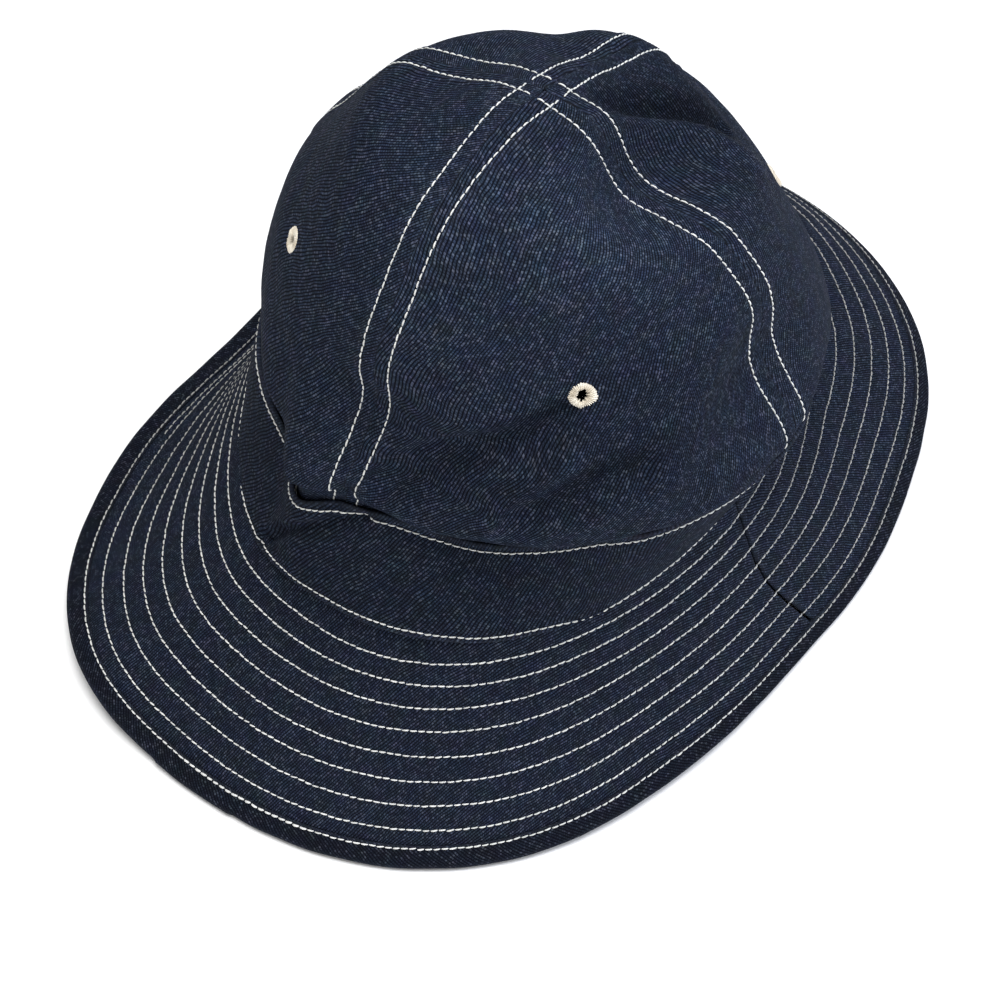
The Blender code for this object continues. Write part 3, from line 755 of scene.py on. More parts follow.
# The edge tape's section in millimetres: how far out along the brim from the tape's inner fold,
# and how high above the brim; up over the top, round the edge and back below
TapePoint = namedtuple("TapePoint", "along above")
TAPE_TOP = [
    TapePoint(0.02, -0.60), TapePoint(-0.02, 0.05), TapePoint(0.06, 0.34), TapePoint(0.25, 0.52),
    TapePoint(0.50, 0.54), TapePoint(0.80, 0.46), TapePoint(1.10, 0.56), TapePoint(1.60, 0.68),
    TapePoint(2.40, 0.73), TapePoint(3.30, 0.72), TapePoint(4.20, 0.72), TapePoint(5.10, 0.70),
    TapePoint(5.90, 0.60), TapePoint(6.50, 0.38), TapePoint(6.90, 0.05), TapePoint(7.12, -0.40),
]
TAPE_BELOW = [
    TapePoint(7.20, -0.95), TapePoint(7.15, -1.50), TapePoint(6.90, -2.00), TapePoint(6.40, -2.30),
    TapePoint(5.60, -2.45), TapePoint(4.20, -2.50), TapePoint(2.60, -2.50), TapePoint(1.20, -2.48),
    TapePoint(0.40, -2.40), TapePoint(0.08, -2.10), TapePoint(0.02, -1.40),
]
TAPE_STITCHED = 0.80 * MM
TAPE_WIDTH = 6.9 * MM
TAPE_UNDERSIDE = -0.8 * MM
TAPE_STEPS = 901

# The tape's unevenness: share of its height, its sideways wander, and how wide both are
TAPE_LUMPS = 0.05
TAPE_LUMP_SIZE = 9 * MM
TAPE_WANDER = 0.35 * MM
TAPE_WANDER_SIZE = 13 * MM

# Shares of the brim at which the tape's directions are taken, and the step to the next angle
TAPE_UPPER, TAPE_MIDDLE, TAPE_LOWER = 0.93, 0.95, 0.97
TAPE_AHEAD = 0.01

# Where the tape's ends lie over one another: first and last angle, and how fast each end drops
TAPE_OVERLAP = (346.5, 358.5, 0.7)
OVERLAP_WIDER = 0.45 * MM
OVERLAP_THICKER = 0.25 * MM


def tape_surface(angle, along, above):
    """Points of the edge tape and its upward normals: along the brim and above it, in metres."""
    share = np.clip(BINDING_SHARE + along / BRIM_WIDTH, 0, 1)
    point = brim_surface(angle, share)
    lower = brim_surface(angle, 0 * share + TAPE_LOWER)
    upper = brim_surface(angle, 0 * share + TAPE_UPPER)
    ahead = brim_surface(angle + TAPE_AHEAD, 0 * share + TAPE_MIDDLE)
    normal = np.cross(ahead - upper, lower - upper)
    normal = unit(normal * np.where(normal[..., 2:] < 0, -1.0, 1.0))
    first, last, drop = np.radians(TAPE_OVERLAP)
    place = np.mod(angle, TURN)
    doubled = ease((place - first) / drop) * (1 - ease((place - last) / drop))
    height = above * (1 + TAPE_LUMPS * ripples(point, TAPE_LUMP_SIZE, 4.0))
    height = height + OVERLAP_THICKER * doubled * (above > 0)
    outer = ease(along / (6 * MM))
    widen = (TAPE_WANDER * ripples(point, TAPE_WANDER_SIZE, 6.0) + OVERLAP_WIDER * doubled) * outer
    point = point + normal * height[..., None] + unit(lower - upper) * widen[..., None]
    point[..., 2] = np.maximum(point[..., 2], 0)
    return point, normal


def tape_top(angle, along):
    """The tape's top face at a distance from its inner fold."""
    above = np.interp(along, column(TAPE_TOP[1:], "along") * MM, column(TAPE_TOP[1:], "above") * MM)
    return tape_surface(angle, along, above)


def ring_piece(name, points, laid_flat, worn, finish, nodes):
    """A closed tube: a grid that joins up both ways."""
    columns, rows = points.shape[0] - 1, points.shape[1] - 1
    index = np.arange(columns * rows).reshape(columns, rows)
    index = np.concatenate([index, index[:1]])
    index = np.concatenate([index, index[:, :1]], 1)
    flat_index = np.arange((columns + 1) * (rows + 1)).reshape(columns + 1, rows + 1)
    normal = np.cross(points[1, 1:] - points[0, 1:], points[0, 1:] - points[0, :-1])
    inwards = (normal * (points[0, 1:] - points[0].mean(axis=0))).sum() < 0
    faces, places = quads(index), quads(flat_index)
    if inwards:
        faces, places = faces[:, ::-1], places[:, ::-1]
    corners = points[:-1, :-1].reshape(-1, 3) - HAT_CENTRE
    mesh = cloth_mesh(name, corners, faces, laid_flat, places, {"worn": worn[:-1, :-1]})
    return place_piece(name, mesh, finish, nodes)


def make_binding():
    """The edge tape, folded over the brim and held by the last row of stitches."""
    section = TAPE_TOP + TAPE_BELOW + TAPE_TOP[:1]
    along = np.array([row.along for row in section]) * MM
    above = np.array([row.above for row in section]) * MM
    angle, along = np.meshgrid(np.linspace(0, TURN, TAPE_STEPS), along, indexing="ij")
    above = np.broadcast_to(above, along.shape)
    point, _ = tape_surface(angle, along, above)
    edge = brim_surface(angle[:, 0], 1.0)
    girth = run_along(np.stack([along[0], above[0]], -1))
    flat = np.stack(np.meshgrid(run_along(edge), girth, indexing="ij"), -1) / MM
    worn = wear_at(along, TAPE_FOLD_WEAR) + wear_at(along - TAPE_WIDTH, TAPE_EDGE_WEAR)
    worn = worn * (above > TAPE_UNDERSIDE)
    return ring_piece("brim_edge_binding", point, flat, worn, BINDING_DENIM,
                      ["brim_binding"])


# Band


FOOT_REACH = 0.45 * MM
FOOT_SHARE = 0.10
BAND_LIP = 2.6 * MM
BAND_ROW_UP = 1.7 * MM
ROW_SUNK = 0.35 * MM
FOOT_SUNK = 0.045

# The fold in the band's right front, a bent line of angles and shares of the height
BAND_FOLD = [(-26, 0.08), (-19, 0.40), (-10, 0.70), (7, 0.93)]
BAND_FOLD_WIDTH = 2.2 * MM
BAND_FOLD_DEPTH = 2.3 * MM
ROLL_SHARE = 0.45
ROLL_AWAY = 1.6


def sewn(name, angle):
    """How far one of the band's edges wanders, at any angle."""
    keys = np.radians(column(SEWN, "angle"))
    return through(keys, column(SEWN, name), np.mod(angle - keys[0], TURN) + keys[0])


def band_line(angle, way):
    """Outside of the band on a grid: way 0 at its lower edge on the brim, 1 at its top edge."""
    bottom, outward = seam_ring(angle)
    top, _ = band_top(angle)
    bottom[..., 2] += BAND_HEIGHT * (sewn("foot", angle) - FOOT_SUNK)
    top[..., 2] += BAND_HEIGHT * sewn("top", angle)
    up = unit(top - bottom)
    top = top + up * BAND_LIP
    flare = FOOT_REACH * (1 - ease(way / FOOT_SHARE))
    return bottom + (top - bottom) * way[..., None] + outward * flare[..., None]


def band_fold(angle, way):
    """Depth of the fold where the slack band buckles."""
    across = (OPENING_WIDTH + OPENING_LENGTH) / 4
    wrapped = np.mod(angle + np.pi, TURN) - np.pi
    here = np.stack([wrapped * across, way * BAND_HEIGHT], -1)
    places = np.array([[np.radians(a) * across, share * BAND_HEIGHT] for a, share in BAND_FOLD])
    away = np.full(here.shape[:-1], 1.0)
    above = np.zeros(here.shape[:-1], bool)
    for start, stop in zip(places[:-1], places[1:]):
        run = stop - start
        apart = off_line(here, start, stop)
        length = np.linalg.norm(apart, axis=-1)
        above = np.where(length < away, apart[..., 1] * run[0] > apart[..., 0] * run[1], above)
        away = np.minimum(away, length)
    groove = BAND_FOLD_DEPTH * bell(away, BAND_FOLD_WIDTH)
    roll = ROLL_SHARE * BAND_FOLD_DEPTH * bell(away - ROLL_AWAY * BAND_FOLD_WIDTH, BAND_FOLD_WIDTH) * above
    return roll - groove


def band_cloth_surface(angle, way):
    """The band's outside and its normals, with soft puckers beside its two stitch rows."""
    point = band_line(angle, way)
    _, outward = seam_ring(angle)
    normal = grid_normals(point, outward)
    height = way * (BAND_HEIGHT + BAND_LIP)
    lip = BAND_HEIGHT - height
    relief = rippled(point, BAND_RIPPLES) + band_fold(angle, way)
    relief *= ease(way * 8) * ease((lip + BAND_LIP) / (3 * MM))
    relief -= ROW_SUNK * (bell(lip, 1.0 * MM) + bell(height - BAND_ROW_UP, 0.9 * MM))
    return point + normal * relief[..., None], normal


# How far the band's weave is pulled askew: sideways shift per height
Askew = namedtuple("Askew", "angle lean")
ASKEW = [
    Askew(0, -0.15), Askew(24, -0.21), Askew(43, 0.05), Askew(56, 0.42), Askew(80, 0.30),
    Askew(120, 0.00), Askew(320, 0.00), Askew(340, 0.05), Askew(360, -0.15),
]
BAND_CLOTH = 1.5 * MM
BAND_STEPS = 481

# The grid up the band: share of the rounded ends, and first, last and number of its even steps
BAND_ROUNDING = 0.018
NEAR_FOOT, MIDDLE, NEAR_LIP = (0.025, 0.16, 12), (0.18, 0.88, 34), (0.895, 0.975, 9)


def make_band():
    """The upright band, both edges turned under and topstitched."""
    end = rounded_end(BAND_ROUNDING, 5)
    inner = [np.linspace(*stretch) for stretch in (NEAR_FOOT, MIDDLE, NEAR_LIP)]
    ways = np.concatenate([end, *inner, 1 - end[::-1]])
    angle, way = np.meshgrid(np.linspace(0, TURN, BAND_STEPS), ways, indexing="ij")
    point, normal = band_cloth_surface(angle, way)
    normal[-1] = normal[0]
    length = np.linalg.norm(np.diff(point, axis=1), axis=-1)
    height = np.concatenate([np.zeros((len(point), 1)), np.cumsum(length, 1)], 1)
    to_edge = np.minimum(height, height[:, -1:] - height)
    middle = point[:, len(ways) // 2]
    askew = np.interp(np.degrees(angle), column(ASKEW, "angle"), column(ASKEW, "lean"))
    flat = np.stack([run_along(middle)[:, None] + height * askew, height], -1) / MM
    worn = wear_at(to_edge, BAND_WEAR)
    return cloth_piece("band_cloth", point, normal, BAND_CLOTH, to_edge, flat, BAND_DENIM,
                       ["side_band"], worn, closed=True)


# Crown


CROWN_MIDDLE = np.array([0, 0, 0.09])
PANEL_TUCK = 5 * MM
PANEL_INSET = 0.25 * MM

# Fine creases on top of the large ones, too narrow for the solids
FINE_CREASES = [
    Crease("bottom of the long fold", 12, 0.22, 41, 0.425, 0.024, -0.030, 0.00),
    Crease("roll over the long fold", 6, 0.26, 37, 0.485, 0.030, 0.008, 0.00),
    Crease("bottom of the short fold", 34, 0.26, 56, 0.31, 0.022, -0.028, 0.00),
    Crease("roll over the short fold", 38, 0.33, 54, 0.365, 0.026, 0.010, 0.00),
    Crease("roll under the short fold", 42, 0.25, 62, 0.27, 0.030, 0.010, 0.00),
    Crease("left of the ridge", 29, 0.27, 37, 0.40, 0.018, -0.012, 0.00),
    Crease("hollow under the long fold", 16, 0.22, 26, 0.27, 0.050, -0.018, 0.00),
    Crease("dip in the back outline", 203, 0.87, 216, 0.70, 0.045, 0.000, -0.026),
    Crease("bottom of the fold behind", 128, 0.93, 142, 0.72, 0.024, -0.008, -0.024),
    Crease("crest of the fold behind", 116, 0.93, 128, 0.66, 0.024, 0.004, 0.012),
]

# How far the slack crown hangs out over the band: millimetres at each angle
Hang = namedtuple("Hang", "angle out")
HANG = [
    Hang(0, 0.4), Hang(20, 0.6), Hang(36, 0.2), Hang(54, 0.3), Hang(62, 1.0), Hang(70, 1.9), Hang(79, 2.2),
    Hang(88, 2.0), Hang(98, 1.2), Hang(110, 0.6), Hang(270, 0.8), Hang(304, 0.9), Hang(312, 2.4),
    Hang(323, 5.2), Hang(335, 2.3), Hang(345, 3.5), Hang(352, 1.2), Hang(360, 0.4),
]
HANG_FROM = (0.012, 0.07)
HANG_TO = (0.15, 0.24)
HANG_DROP = 0.25

# Painted light and shade on the crown, lighter on its upper front and ridges, darker in its folds
# and hollows: round a line from one place to another, with its reach on the flat cloth and its change
Fade = namedtuple("Fade", "name angle level to_angle to_level reach change")
PAINTED_LIGHT_AND_SHADE = [
    Fade("painted highlight on the upper front", 40, 0.73, 41, 0.73, 0.23, 0.36),
    Fade("hollow above the band", 52, 0.36, 53, 0.36, 0.22, -0.28),
    Fade("fall behind the dent", 140, 0.80, 141, 0.80, 0.13, -0.30),
    Fade("back left swell", 113, 0.66, 114, 0.66, 0.18, -0.15),
    Fade("beside the crossing", 45, 0.93, 46, 0.93, 0.08, -0.15),
    Fade("long fold", 10, 0.19, 41, 0.452, 0.026, -0.18),
    Fade("short fold", 34, 0.29, 56, 0.335, 0.025, -0.18),
    Fade("front low", 14, 0.24, 30, 0.30, 0.050, -0.08),
    Fade("ridge beside the hollow", 32, 0.22, 43, 0.38, 0.020, 0.22),
    Fade("roll under the short fold", 40, 0.22, 62, 0.24, 0.035, 0.20),
    Fade("crest behind the crossing", 110, 0.93, 125, 0.60, 0.030, 0.20),
    Fade("dark fold behind the crossing", 131, 0.90, 141, 0.74, 0.050, -0.35),
]


def crown_relief(points, to_seam):
    """Raised strips along the seams, sunk under their stitches, and faint crumples."""
    strip = SEAM_RAISE * (1 - ease((to_seam - SEAM_STRIP) / SEAM_SLOPE))
    return strip - SEAM_SUNK * bell(to_seam - SEAM_TWIN, 0.8 * MM) + rippled(points, CROWN_RIPPLES)


def distance_to_seam(angle, level):
    """How far a point of the crown is from the nearest seam, along the cloth."""
    radius = up_crown("radius", level) * CROWN_WIDTH / 2
    beside = np.mod(angle, np.pi / 2)
    beside = np.minimum(beside, np.pi / 2 - beside)
    return radius * np.sin(beside)


def hang_shift(angle, level):
    """How the crown's lowest part moves where it hangs out over the band."""
    keys = np.radians(column(HANG, "angle"))
    out = through(keys, column(HANG, "out") * MM, np.clip(np.mod(angle, TURN), keys[0], keys[-1]))
    rising = ease((level - HANG_FROM[0]) / HANG_FROM[1])
    out = np.maximum(out, 0) * rising * (1 - ease((level - HANG_TO[0]) / HANG_TO[1]))
    return np.stack([np.sin(angle), -np.cos(angle), 0 * angle - HANG_DROP], -1) * out[..., None]


def crown_painted_light_and_shade(angle, level):
    """How much lighter or darker the crown is painted: painted highlights and painted shade."""
    here = flat_place(angle, level)
    change = np.zeros(angle.shape)
    for row in PAINTED_LIGHT_AND_SHADE:
        start = flat_place(np.radians(row.angle), row.level)
        stop = flat_place(np.radians(row.to_angle), row.to_level)
        away = np.linalg.norm(off_line(here, start, stop), axis=-1)
        change += row.change * bell(away, row.reach)
    return change


# How the left seam sways forwards at its foot: middle, reach and sway in degrees, and up to which level
SWAY = (90, 24, 4.5)
SWAY_LEVEL = 0.24


def sway(angle, level):
    """Angles of the crown's cloth once its left seam has swung forwards at the band."""
    middle, reach, most = np.radians(SWAY)
    share = np.exp(-((np.mod(angle, TURN) - middle) / reach) ** 2) * (1 - ease(level / SWAY_LEVEL))
    return angle - most * share


def crown_cloth_surface(angle, level):
    """The crown's outside and its normals, on a grid of angles and levels."""
    sewn_angle, angle = angle, sway(angle, level)
    points = crown_surface(angle, level) + crease_shift(FINE_CREASES, angle, level)
    points += hang_shift(angle, level)
    normal = grid_normals(points, points - CROWN_MIDDLE)
    return points + normal * crown_relief(points, distance_to_seam(sewn_angle, level))[..., None], normal


# Columns of a panel beside each of its seams, in millimetres from the seam
SEAM_COLUMNS = [0, 0.08, 0.25, 0.5, 0.9, 1.6, 2.6, 3.5, 4.2, 4.7, 5.2, 5.9, 6.6, 7.4]
PANEL_COLUMNS = 96
PANEL_ROWS = 160


def make_panel(corner, start, twill_turn, air_hole):
    """One quarter of the crown, its edges turned down into the seams and its air hole cut."""
    foot, top = [0, 0.002, 0.006], 1 - np.geomspace(0.065, 0.0015, 26)
    levels = np.concatenate([foot, np.linspace(0.012, 0.93, PANEL_ROWS), top])
    strip = np.array(SEAM_COLUMNS) * MM
    radius = up_crown("radius", levels) * CROWN_WIDTH / 2
    squeeze = np.minimum(1, 0.6 * radius / strip[-1])
    beside = np.arcsin(np.minimum(strip[None] * squeeze[:, None] / radius[:, None], 0.66))
    inner = np.linspace(0, 1, PANEL_COLUMNS // 2 - len(strip) + 1)[1:]
    half = np.concatenate([beside, beside[:, -1:] + (np.pi / 4 - beside[:, -1:]) * inner], 1)
    turns = np.concatenate([half, np.pi / 2 - half[:, -2::-1]], 1).T
    angle = np.radians(start) + turns
    level = np.broadcast_to(levels, angle.shape)
    points, normal = crown_cloth_surface(angle, level)
    points = points - normal * PANEL_INSET
    points[:, 0] = points[:, 1] - band_axes(angle[:, 1])[0] * PANEL_TUCK
    to_seam = distance_to_seam(turns, level)
    to_seam[[0, -1]] = 0
    to_seam[:, -1] = 0
    height = np.broadcast_to(run_along(points[len(points) // 2]), angle.shape)
    steps = np.linalg.norm(np.diff(points, axis=0), axis=-1)
    run = np.concatenate([np.zeros((1, points.shape[1])), np.cumsum(steps, 0)])
    flat = np.stack([run - run[len(points) // 2], height], -1) / MM
    twist = np.radians(twill_turn)
    flat = flat @ np.array([[np.cos(twist), np.sin(twist)], [-np.sin(twist), np.cos(twist)]])
    flat[..., 0] += 300 * np.radians(start)
    to_edge = np.minimum(to_seam, height)
    worn = wear_at(to_seam, SEAM_WEAR) + wear_at(to_seam - SEAM_STRIP, STRIP_WEAR)
    centre, _, _, out = eyelet_frame(*air_hole)
    square = (points[1:, 1:] + points[:-1, :-1]) / 2 - centre
    along = square @ out
    off_axis = np.linalg.norm(square - along[..., None] * out, axis=-1)
    hole = (off_axis < HOLE_CUT) & (np.abs(along) < HOLE_REACH)
    # The crown's dye gets its painted highlights and painted shade
    return cloth_piece("crown_cloth_" + corner, points, normal, PANEL_THICKNESS, to_edge, flat,
                       CROWN_DENIM, ["crown_panel_" + corner], worn,
                       painted_light_and_shade=crown_painted_light_and_shade(angle, level), hole=hole)


# Stitches


def run_of_stitches(points, normals, pitch=STITCH_PITCH):
    """Start, middle, end and outward normal of each stitch along a line on the cloth."""
    run = run_along(points)
    count = max(int(round(run[-1] / pitch)), 1)
    pitch = run[-1] / count
    length = pitch * STITCH_LENGTH
    table = []
    for begin in np.arange(count) * pitch:
        spots = [(points, begin), (points, begin + length / 2), (points, begin + length),
                 (normals, begin + length / 2)]
        table.append([[np.interp(place, run, values[:, axis]) for axis in range(3)]
                      for values, place in spots])
    return np.array(table)


# Painted shade on the brim's thread round the hat, darker towards its sides and back where the light falls
# off, as in the photo
ThreadShade = namedtuple("ThreadShade", "angle share")
THREAD_PAINTED_SHADE = [
    ThreadShade(0, 0.00), ThreadShade(66, 0.05), ThreadShade(80, 0.25), ThreadShade(95, 0.50), ThreadShade(120, 0.58), ThreadShade(270, 0.58),
    ThreadShade(292, 0.50), ThreadShade(305, 0.40), ThreadShade(316, 0.10), ThreadShade(326, 0.00), ThreadShade(360, 0.00),
]


def thread_painted_shade_at(middle):
    """How much painted shade darkens the thread at each stitch of the brim."""
    angle = np.degrees(np.mod(np.arctan2(middle[:, 0], -middle[:, 1]), TURN))
    return np.interp(angle, column(THREAD_PAINTED_SHADE, "angle"), column(THREAD_PAINTED_SHADE, "share"))


# One stitch from end to end, as shares: place along it, width, and height above the cloth
Arch = namedtuple("Arch", "along width rise")
ARCH = [
    Arch(0.00, 0.25, -0.55), Arch(0.07, 0.72, -0.05), Arch(0.28, 1.00, 0.55), Arch(0.50, 1.05, 0.75),
    Arch(0.72, 1.00, 0.55), Arch(0.93, 0.72, -0.05), Arch(1.00, 0.25, -0.55),
]
THREAD_SIDES = 6
THREAD_FLAT = 0.85
PLIES_APART = 3.7

# How unevenly the stitches are sewn
SLANT_SPREAD = 0.05
SIDEWAYS_SPREAD = 0.06 * MM
LENGTH_SPREAD = 0.04
THICK_SPREAD = 0.07


def stitch_mesh(name, stitches, seed, painted_shade_levels=None, thicker=1.0):
    """All the stitches of one seam as one mesh: each is a short arch of thread, slightly slanted."""
    random = np.random.default_rng(seed)
    start, middle, end, normal = [stitches[:, i] for i in range(4)]
    count = len(stitches)
    normal = unit(normal)
    ahead = unit(end - start)
    side = unit(np.cross(normal, ahead))
    length = np.linalg.norm(end - start, axis=-1)
    slant = STITCH_SLANT + SLANT_SPREAD * random.standard_normal(count)
    wander = SIDEWAYS_SPREAD * random.standard_normal(count)
    stretch = 1 + LENGTH_SPREAD * random.standard_normal(count)
    thick = THREAD_RADIUS * thicker * (1 + THICK_SPREAD * random.standard_normal(count))
    along, width, rise = [column(ARCH, field) for field in Arch._fields]
    turn = np.arange(THREAD_SIDES) / THREAD_SIDES * TURN
    t = (along - 0.5)[None, :, None] * (length * stretch)[:, None, None]
    centre = middle[:, None] + ahead[:, None] * t
    centre = centre + side[:, None] * (t * slant[:, None, None] + wander[:, None, None])
    centre = centre + normal[:, None] * (rise[None, :, None] * thick[:, None, None])
    spoke = (side[:, None, None] * np.cos(turn)[None, None, :, None]
             + normal[:, None, None] * np.sin(turn)[None, None, :, None] * THREAD_FLAT)
    ring = centre[:, :, None] + spoke * (width[None, :, None, None] * thick[:, None, None, None])
    per_stitch = len(along) * THREAD_SIDES
    corners = ring.reshape(-1, 3) - HAT_CENTRE
    index = np.arange(per_stitch).reshape(len(along), THREAD_SIDES)
    beside = np.roll(index, -1, axis=1)
    walls = np.stack([index[:-1], beside[:-1], beside[1:], index[1:]], -1).reshape(-1, 4)
    base = (np.arange(count) * per_stitch)[:, None, None]
    faces = (walls[None] + base).reshape(-1, 4).tolist()
    faces += [list(row) for row in (index[0][::-1][None] + base[:, 0])]
    faces += [list(row) for row in (index[-1][None] + base[:, 0])]
    mesh = bpy.data.meshes.new(name)
    mesh.from_pydata(corners.tolist(), [], faces)
    layer = mesh.uv_layers.new(name="cloth_mm")
    u = np.broadcast_to(along[None, :, None] * length[:, None, None] / MM, ring.shape[:3])
    v = np.broadcast_to((np.minimum(turn, TURN - turn) * THREAD_RADIUS / MM)[None, None], ring.shape[:3])
    u = u + np.arange(count)[:, None, None] * PLIES_APART
    places = np.stack([u, v], -1).reshape(-1, 2)
    loops = np.zeros(len(mesh.loops), np.int32)
    mesh.loops.foreach_get("vertex_index", loops)
    layer.data.foreach_set("uv", places[loops].astype(np.float32).ravel())
    # How much painted shade darkens each stitch's thread
    shade = mesh.attributes.new("thread_painted_shade", "FLOAT", "POINT")
    levels = np.zeros(count) if painted_shade_levels is None else painted_shade_levels
    shade.data.foreach_set("value", np.repeat(levels, per_stitch).astype(np.float32))
    return place_piece(name, mesh, STITCH_THREAD, None)


def line_on(surface, angle, share, width=0.6 * MM, scale=BRIM_WIDTH):
    """Points and normals along a line of angles and shares on a sewn surface."""
    spread = np.array([-1, 0, 1]) * width / scale
    grid_angle = np.repeat(angle[:, None], 3, 1)
    grid_share = share[:, None] + spread
    points, normals = surface(grid_angle, grid_share)
    return points[:, 1], normals[:, 1]


LINE_STEPS = 1500
SLOW_WANDER = 0.0015
QUICK_WANDER = 0.001


def brim_row_lines():
    """The brim's stitch rows, each a closed line that starts at the seam."""
    lines = []
    for number, row in enumerate(BRIM_ROWS[:-1]):
        angle = join_angle(row) + np.linspace(0, TURN, LINE_STEPS)
        share = row + SLOW_WANDER * np.sin(3 * angle + number)
        share = share + QUICK_WANDER * np.sin(11 * angle + 2 * number)
        lines.append(line_on(brim_cloth_surface, angle, share))
    return lines


# Where the last row's end is sewn over its start, from and to which angle, and how much thicker
TWICE_SEWN = (-9, 8.5)
TWICE_THICKER = 1.45

# The short extra row on the right side: from and to which angle and share of the brim's width
EXTRA_ANGLES = (292, 262)
EXTRA_SHARE = 0.862
EXTRA_DRIFT = 0.03
EXTRA_STEPS = 160


def make_brim_stitches():
    """The brim's quilting rows, the row that holds the tape, and a short extra row."""
    lines = brim_row_lines()
    table = np.concatenate([run_of_stitches(*line) for line in lines[:4]])
    stitch_mesh("brim_stitching_inner", table, 11, thread_painted_shade_at(table[:, 1]))
    table = np.concatenate([run_of_stitches(*line) for line in lines[4:]])
    stitch_mesh("brim_stitching_outer", table, 12, thread_painted_shade_at(table[:, 1]))

    # The binding's row rides on the tape, just outside its inner fold
    angle = np.linspace(0, TURN, 1600)
    point, normal = tape_top(angle, TAPE_STITCHED * (1 + 0.12 * np.sin(9 * angle)))
    table = run_of_stitches(point, normal)
    place = np.degrees(np.arctan2(table[:, 1, 0], -table[:, 1, 1]))
    doubled = (place > TWICE_SEWN[0]) & (place < TWICE_SEWN[1])
    thicker = np.where(doubled, TWICE_THICKER, 1.0)
    stitch_mesh("binding_stitching", table, 13, thread_painted_shade_at(table[:, 1]), thicker)

    angle = np.radians(np.linspace(*EXTRA_ANGLES, EXTRA_STEPS))
    share = EXTRA_SHARE - EXTRA_DRIFT * np.linspace(0, 1, EXTRA_STEPS)
    extra = run_of_stitches(*line_on(brim_cloth_surface, angle, share))
    stitch_mesh("brim_stitching_extra", extra, 14, thread_painted_shade_at(extra[:, 1]))


TOP_ROW_RAISE = 0.10 * MM


def make_band_stitches():
    """The band's two rows, one along each edge."""
    angle = np.linspace(0, TURN, LINE_STEPS)
    row_up = BAND_ROW_UP / (BAND_HEIGHT + BAND_LIP)
    foot, foot_up = line_on(band_cloth_surface, angle, 0 * angle + row_up, 0.4 * MM, BAND_HEIGHT)
    stitch_mesh("band_stitching_foot", run_of_stitches(foot, foot_up), 21)
    lip = 1 - BAND_LIP / (BAND_HEIGHT + BAND_LIP)
    top, top_up = line_on(band_cloth_surface, angle, 0 * angle + lip, 0.4 * MM, BAND_HEIGHT)
    stitch_mesh("band_stitching_top", run_of_stitches(top + top_up * TOP_ROW_RAISE, top_up), 22)


def make_crown_stitches():
    """Two rows beside each seam, from the band up over the crossing."""
    table = []
    levels = np.linspace(0.004, 1, 700)
    radius = up_crown("radius", levels) * CROWN_WIDTH / 2
    levels = levels[radius > SEAM_TWIN]
    radius = radius[radius > SEAM_TWIN]
    for branch in (0, 90, 180, 270):
        for side in (-1, 1):
            angle = np.radians(branch) + side * np.arcsin(np.minimum(SEAM_TWIN / radius, 1))
            grid_angle = angle[:, None] + np.array([-0.004, 0, 0.004])
            grid_level = np.repeat(levels[:, None], 3, 1)
            points, normals = crown_cloth_surface(grid_angle, grid_level)
            points = points - normals * PANEL_INSET
            table.append(run_of_stitches(points[:, 1], normals[:, 1]))
    stitch_mesh("crown_stitching", np.concatenate(table), 31)


# Air holes


def eyelet_frame(angle, level):
    """Where an air hole sits: its centre, and its sideways, upward and outward directions."""
    turn = np.radians(angle)
    angles = turn + np.array([-0.03, 0, 0.03])[:, None] + np.zeros((3, 3))
    levels = level + np.array([-0.01, 0, 0.01])[None] + np.zeros((3, 3))
    points, normal = crown_cloth_surface(angles, levels)
    out = unit(normal[1, 1])
    side = unit(np.cross([0, 0, 1], out))
    return points[1, 1] - out * PANEL_INSET, side, np.cross(out, side), out


EYELET_RADIUS = 4.0 * MM
HOLE_RADIUS = 1.55 * MM
HOLE_CUT = 2.5 * MM
HOLE_REACH = 10 * MM
EYELET_RAISE = 0.85 * MM
EYELET_DEPTH = 1.45 * MM
EYELET_TALL = 0.9
EYELET_THREADS = 34
EYELET_ROWS = 20
PER_THREAD = 8

# How unevenly the rings are worked: spread of the threads' outer ends, inner ends and height
OUTER_SPREAD = 0.012
INNER_SPREAD = 0.13
PROUD_SPREAD = 0.10


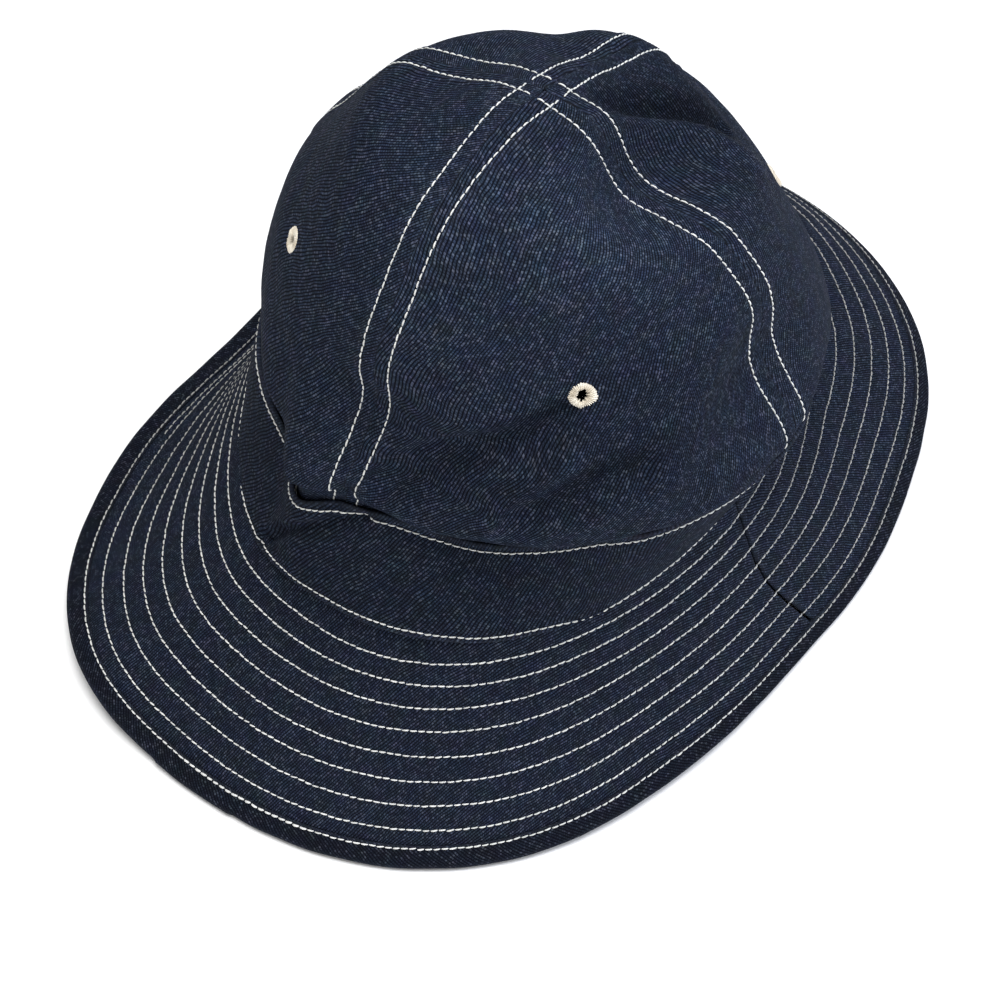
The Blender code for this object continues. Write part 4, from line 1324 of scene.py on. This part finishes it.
def make_eyelet(corner, air_hole, seed):
    """A buttonhole-stitched ring: radial threads from the cloth in over the hole's rim."""
    random = np.random.default_rng(seed)
    centre, side, up, out = eyelet_frame(*air_hole)
    columns, rows = EYELET_THREADS * PER_THREAD, EYELET_ROWS
    reach, inner, proud = [np.repeat(1 + spread * random.standard_normal(EYELET_THREADS), PER_THREAD)
                           for spread in (OUTER_SPREAD, INNER_SPREAD, PROUD_SPREAD)]
    bulge = np.abs(np.sin(np.arange(columns) / PER_THREAD * np.pi)) ** 0.7
    turn = np.arange(columns) / columns * TURN
    outer_radius = EYELET_RADIUS * reach * (0.95 + 0.05 * bulge) * (1 + 0.015 * np.sin(2 * turn + seed))
    hole_radius = HOLE_RADIUS * inner * (1 + 0.18 * np.sin(2 * turn) - 0.22 * np.cos(2 * turn))
    section = np.arange(rows) / rows * TURN
    width = (outer_radius - hole_radius) / 2
    middle = (outer_radius + hole_radius) / 2
    radial = middle[:, None] + width[:, None] * np.cos(section)[None]
    thick = EYELET_RAISE * proud * (0.55 + 0.45 * bulge)
    height = np.sin(section)[None] * thick[:, None] * (1 - 0.25 * np.cos(section))[None]
    height = np.where(np.sin(section)[None] < 0, np.sin(section)[None] * EYELET_DEPTH, height)
    height = height - PANEL_INSET
    points = (centre + side * (radial * np.cos(turn)[:, None])[..., None]
              + up * (EYELET_TALL * radial * np.sin(turn)[:, None])[..., None] + out * height[..., None])
    points = np.concatenate([points, points[:1]])
    points = np.concatenate([points, points[:, :1]], 1)
    steps = [np.arange(columns + 1) * 0.12, np.arange(rows + 1) * 0.5]
    flat = np.stack(np.meshgrid(*steps, indexing="ij"), -1)
    return ring_piece("eyelet_ring_" + corner, points, flat, np.zeros(points.shape[:2]), EYELET_THREAD,
                      ["eyelet_" + corner])


# The hat put together

# The crown's quarters: where each starts, how its twill is turned, and where its air hole is
Panel = namedtuple("Panel", "corner start twill_turn air_hole")
PANELS = [
    Panel("front_left", 0, -2, (45, EYELET_LEVEL)),
    Panel("back_left", 90, 2, (138.5, EYELET_LEVEL - 0.025)),
    Panel("back_right", 180, 4, (225, EYELET_LEVEL)),
    Panel("front_right", 270, -3, (315, EYELET_LEVEL)),
]
make_brim()
make_binding()
make_band()
for panel in PANELS:
    make_panel(*panel)
    make_eyelet(panel.corner, panel.air_hole, panel.start + 3)
make_brim_stitches()
make_band_stitches()
make_crown_stitches()

# Floor, light and camera


def paper(name):
    """Matt white backdrop paper, smooth and slightly mottled."""
    sheet = bpy.data.materials.new(name)
    sheet.use_nodes = True
    tree = sheet.node_tree
    shader = tree.nodes["Principled BSDF"]
    place = add(tree, "ShaderNodeNewGeometry").outputs["Position"]
    mottle = add(tree, "ShaderNodeTexNoise", {}, {"Vector": place, "Scale": 3.0})
    tone = add(tree, "ShaderNodeMix", {"data_type": "RGBA"},
               {"Factor": mottle, "A": linear("#fafafa"), "B": linear("#ffffff")})
    tree.links.new(tone.outputs["Result"], shader.inputs["Base Color"])
    shader.inputs["Roughness"].default_value = 0.9
    shader.inputs["Specular IOR Level"].default_value = 0.1
    return sheet


bpy.ops.mesh.primitive_plane_add(size=8)
floor = bpy.context.object
floor.name = "studio_floor"
floor.data.materials.append(paper("backdrop_paper"))


# Square softboxes that face the hat, places in metres
Softbox = namedtuple("Softbox", "name place watts colour")
SOFTBOXES = [
    Softbox("overhead_softbox", (0, 0, 1.8), 31, "#ffffff"),
    Softbox("side_softbox", (1.15, 0.77, 1.16), 16, "#e3ecff"),
    Softbox("front_softbox", (0.94, -1.40, 0.62), 11, "#ffffff"),
]
SOFTBOX_SIZE = 1.2
LIT_POINT = (0, 0, 0.05)
ROOM_STRENGTH = 0.25

for box in SOFTBOXES:
    lamp = bpy.data.lights.new(box.name, "AREA")
    lamp.shape = "SQUARE"
    lamp.size = SOFTBOX_SIZE
    lamp.energy = box.watts
    lamp.color = linear(box.colour)[:3]
    stand = bpy.data.objects.new(box.name, lamp)
    bpy.context.scene.collection.objects.link(stand)
    stand.location = box.place
    stand.rotation_euler = (Vector(LIT_POINT) - Vector(box.place)).to_track_quat("-Z", "Y").to_euler()
world = bpy.data.worlds.new("white_studio")
world.use_nodes = True
world.node_tree.nodes["Background"].inputs["Color"].default_value = linear("#ffffff")
world.node_tree.nodes["Background"].inputs["Strength"].default_value = ROOM_STRENGTH
bpy.context.scene.world = world
bpy.context.scene.view_settings.view_transform = "Standard"

# The camera looks down on the front left of the crown; the angles are its own direction from the hat
CAMERA_TURN = 33.856
CAMERA_RISE = 52.857
CAMERA_DISTANCE = 848.4 * MM
CAMERA_ASIDE = -7.56 * MM
CAMERA_ABOVE = -14.93 * MM
CAMERA_LENS = 94.91

turn, rise = np.radians([CAMERA_TURN, CAMERA_RISE])
right = Vector((np.cos(turn), np.sin(turn), 0))
back = Vector((np.sin(turn) * np.cos(rise), -np.cos(turn) * np.cos(rise), np.sin(rise)))
lens = bpy.data.cameras.new("photo_camera")
lens.lens = CAMERA_LENS
lens.sensor_width = 36
lens.clip_start = 0.01
camera = bpy.data.objects.new("photo_camera", lens)
bpy.context.scene.collection.objects.link(camera)
camera.location = right * CAMERA_ASIDE + Vector((0, 0, CAMERA_ABOVE)) + back * CAMERA_DISTANCE
camera.rotation_euler = back.to_track_quat("Z", "Y").to_euler()
bpy.context.scene.camera = camera
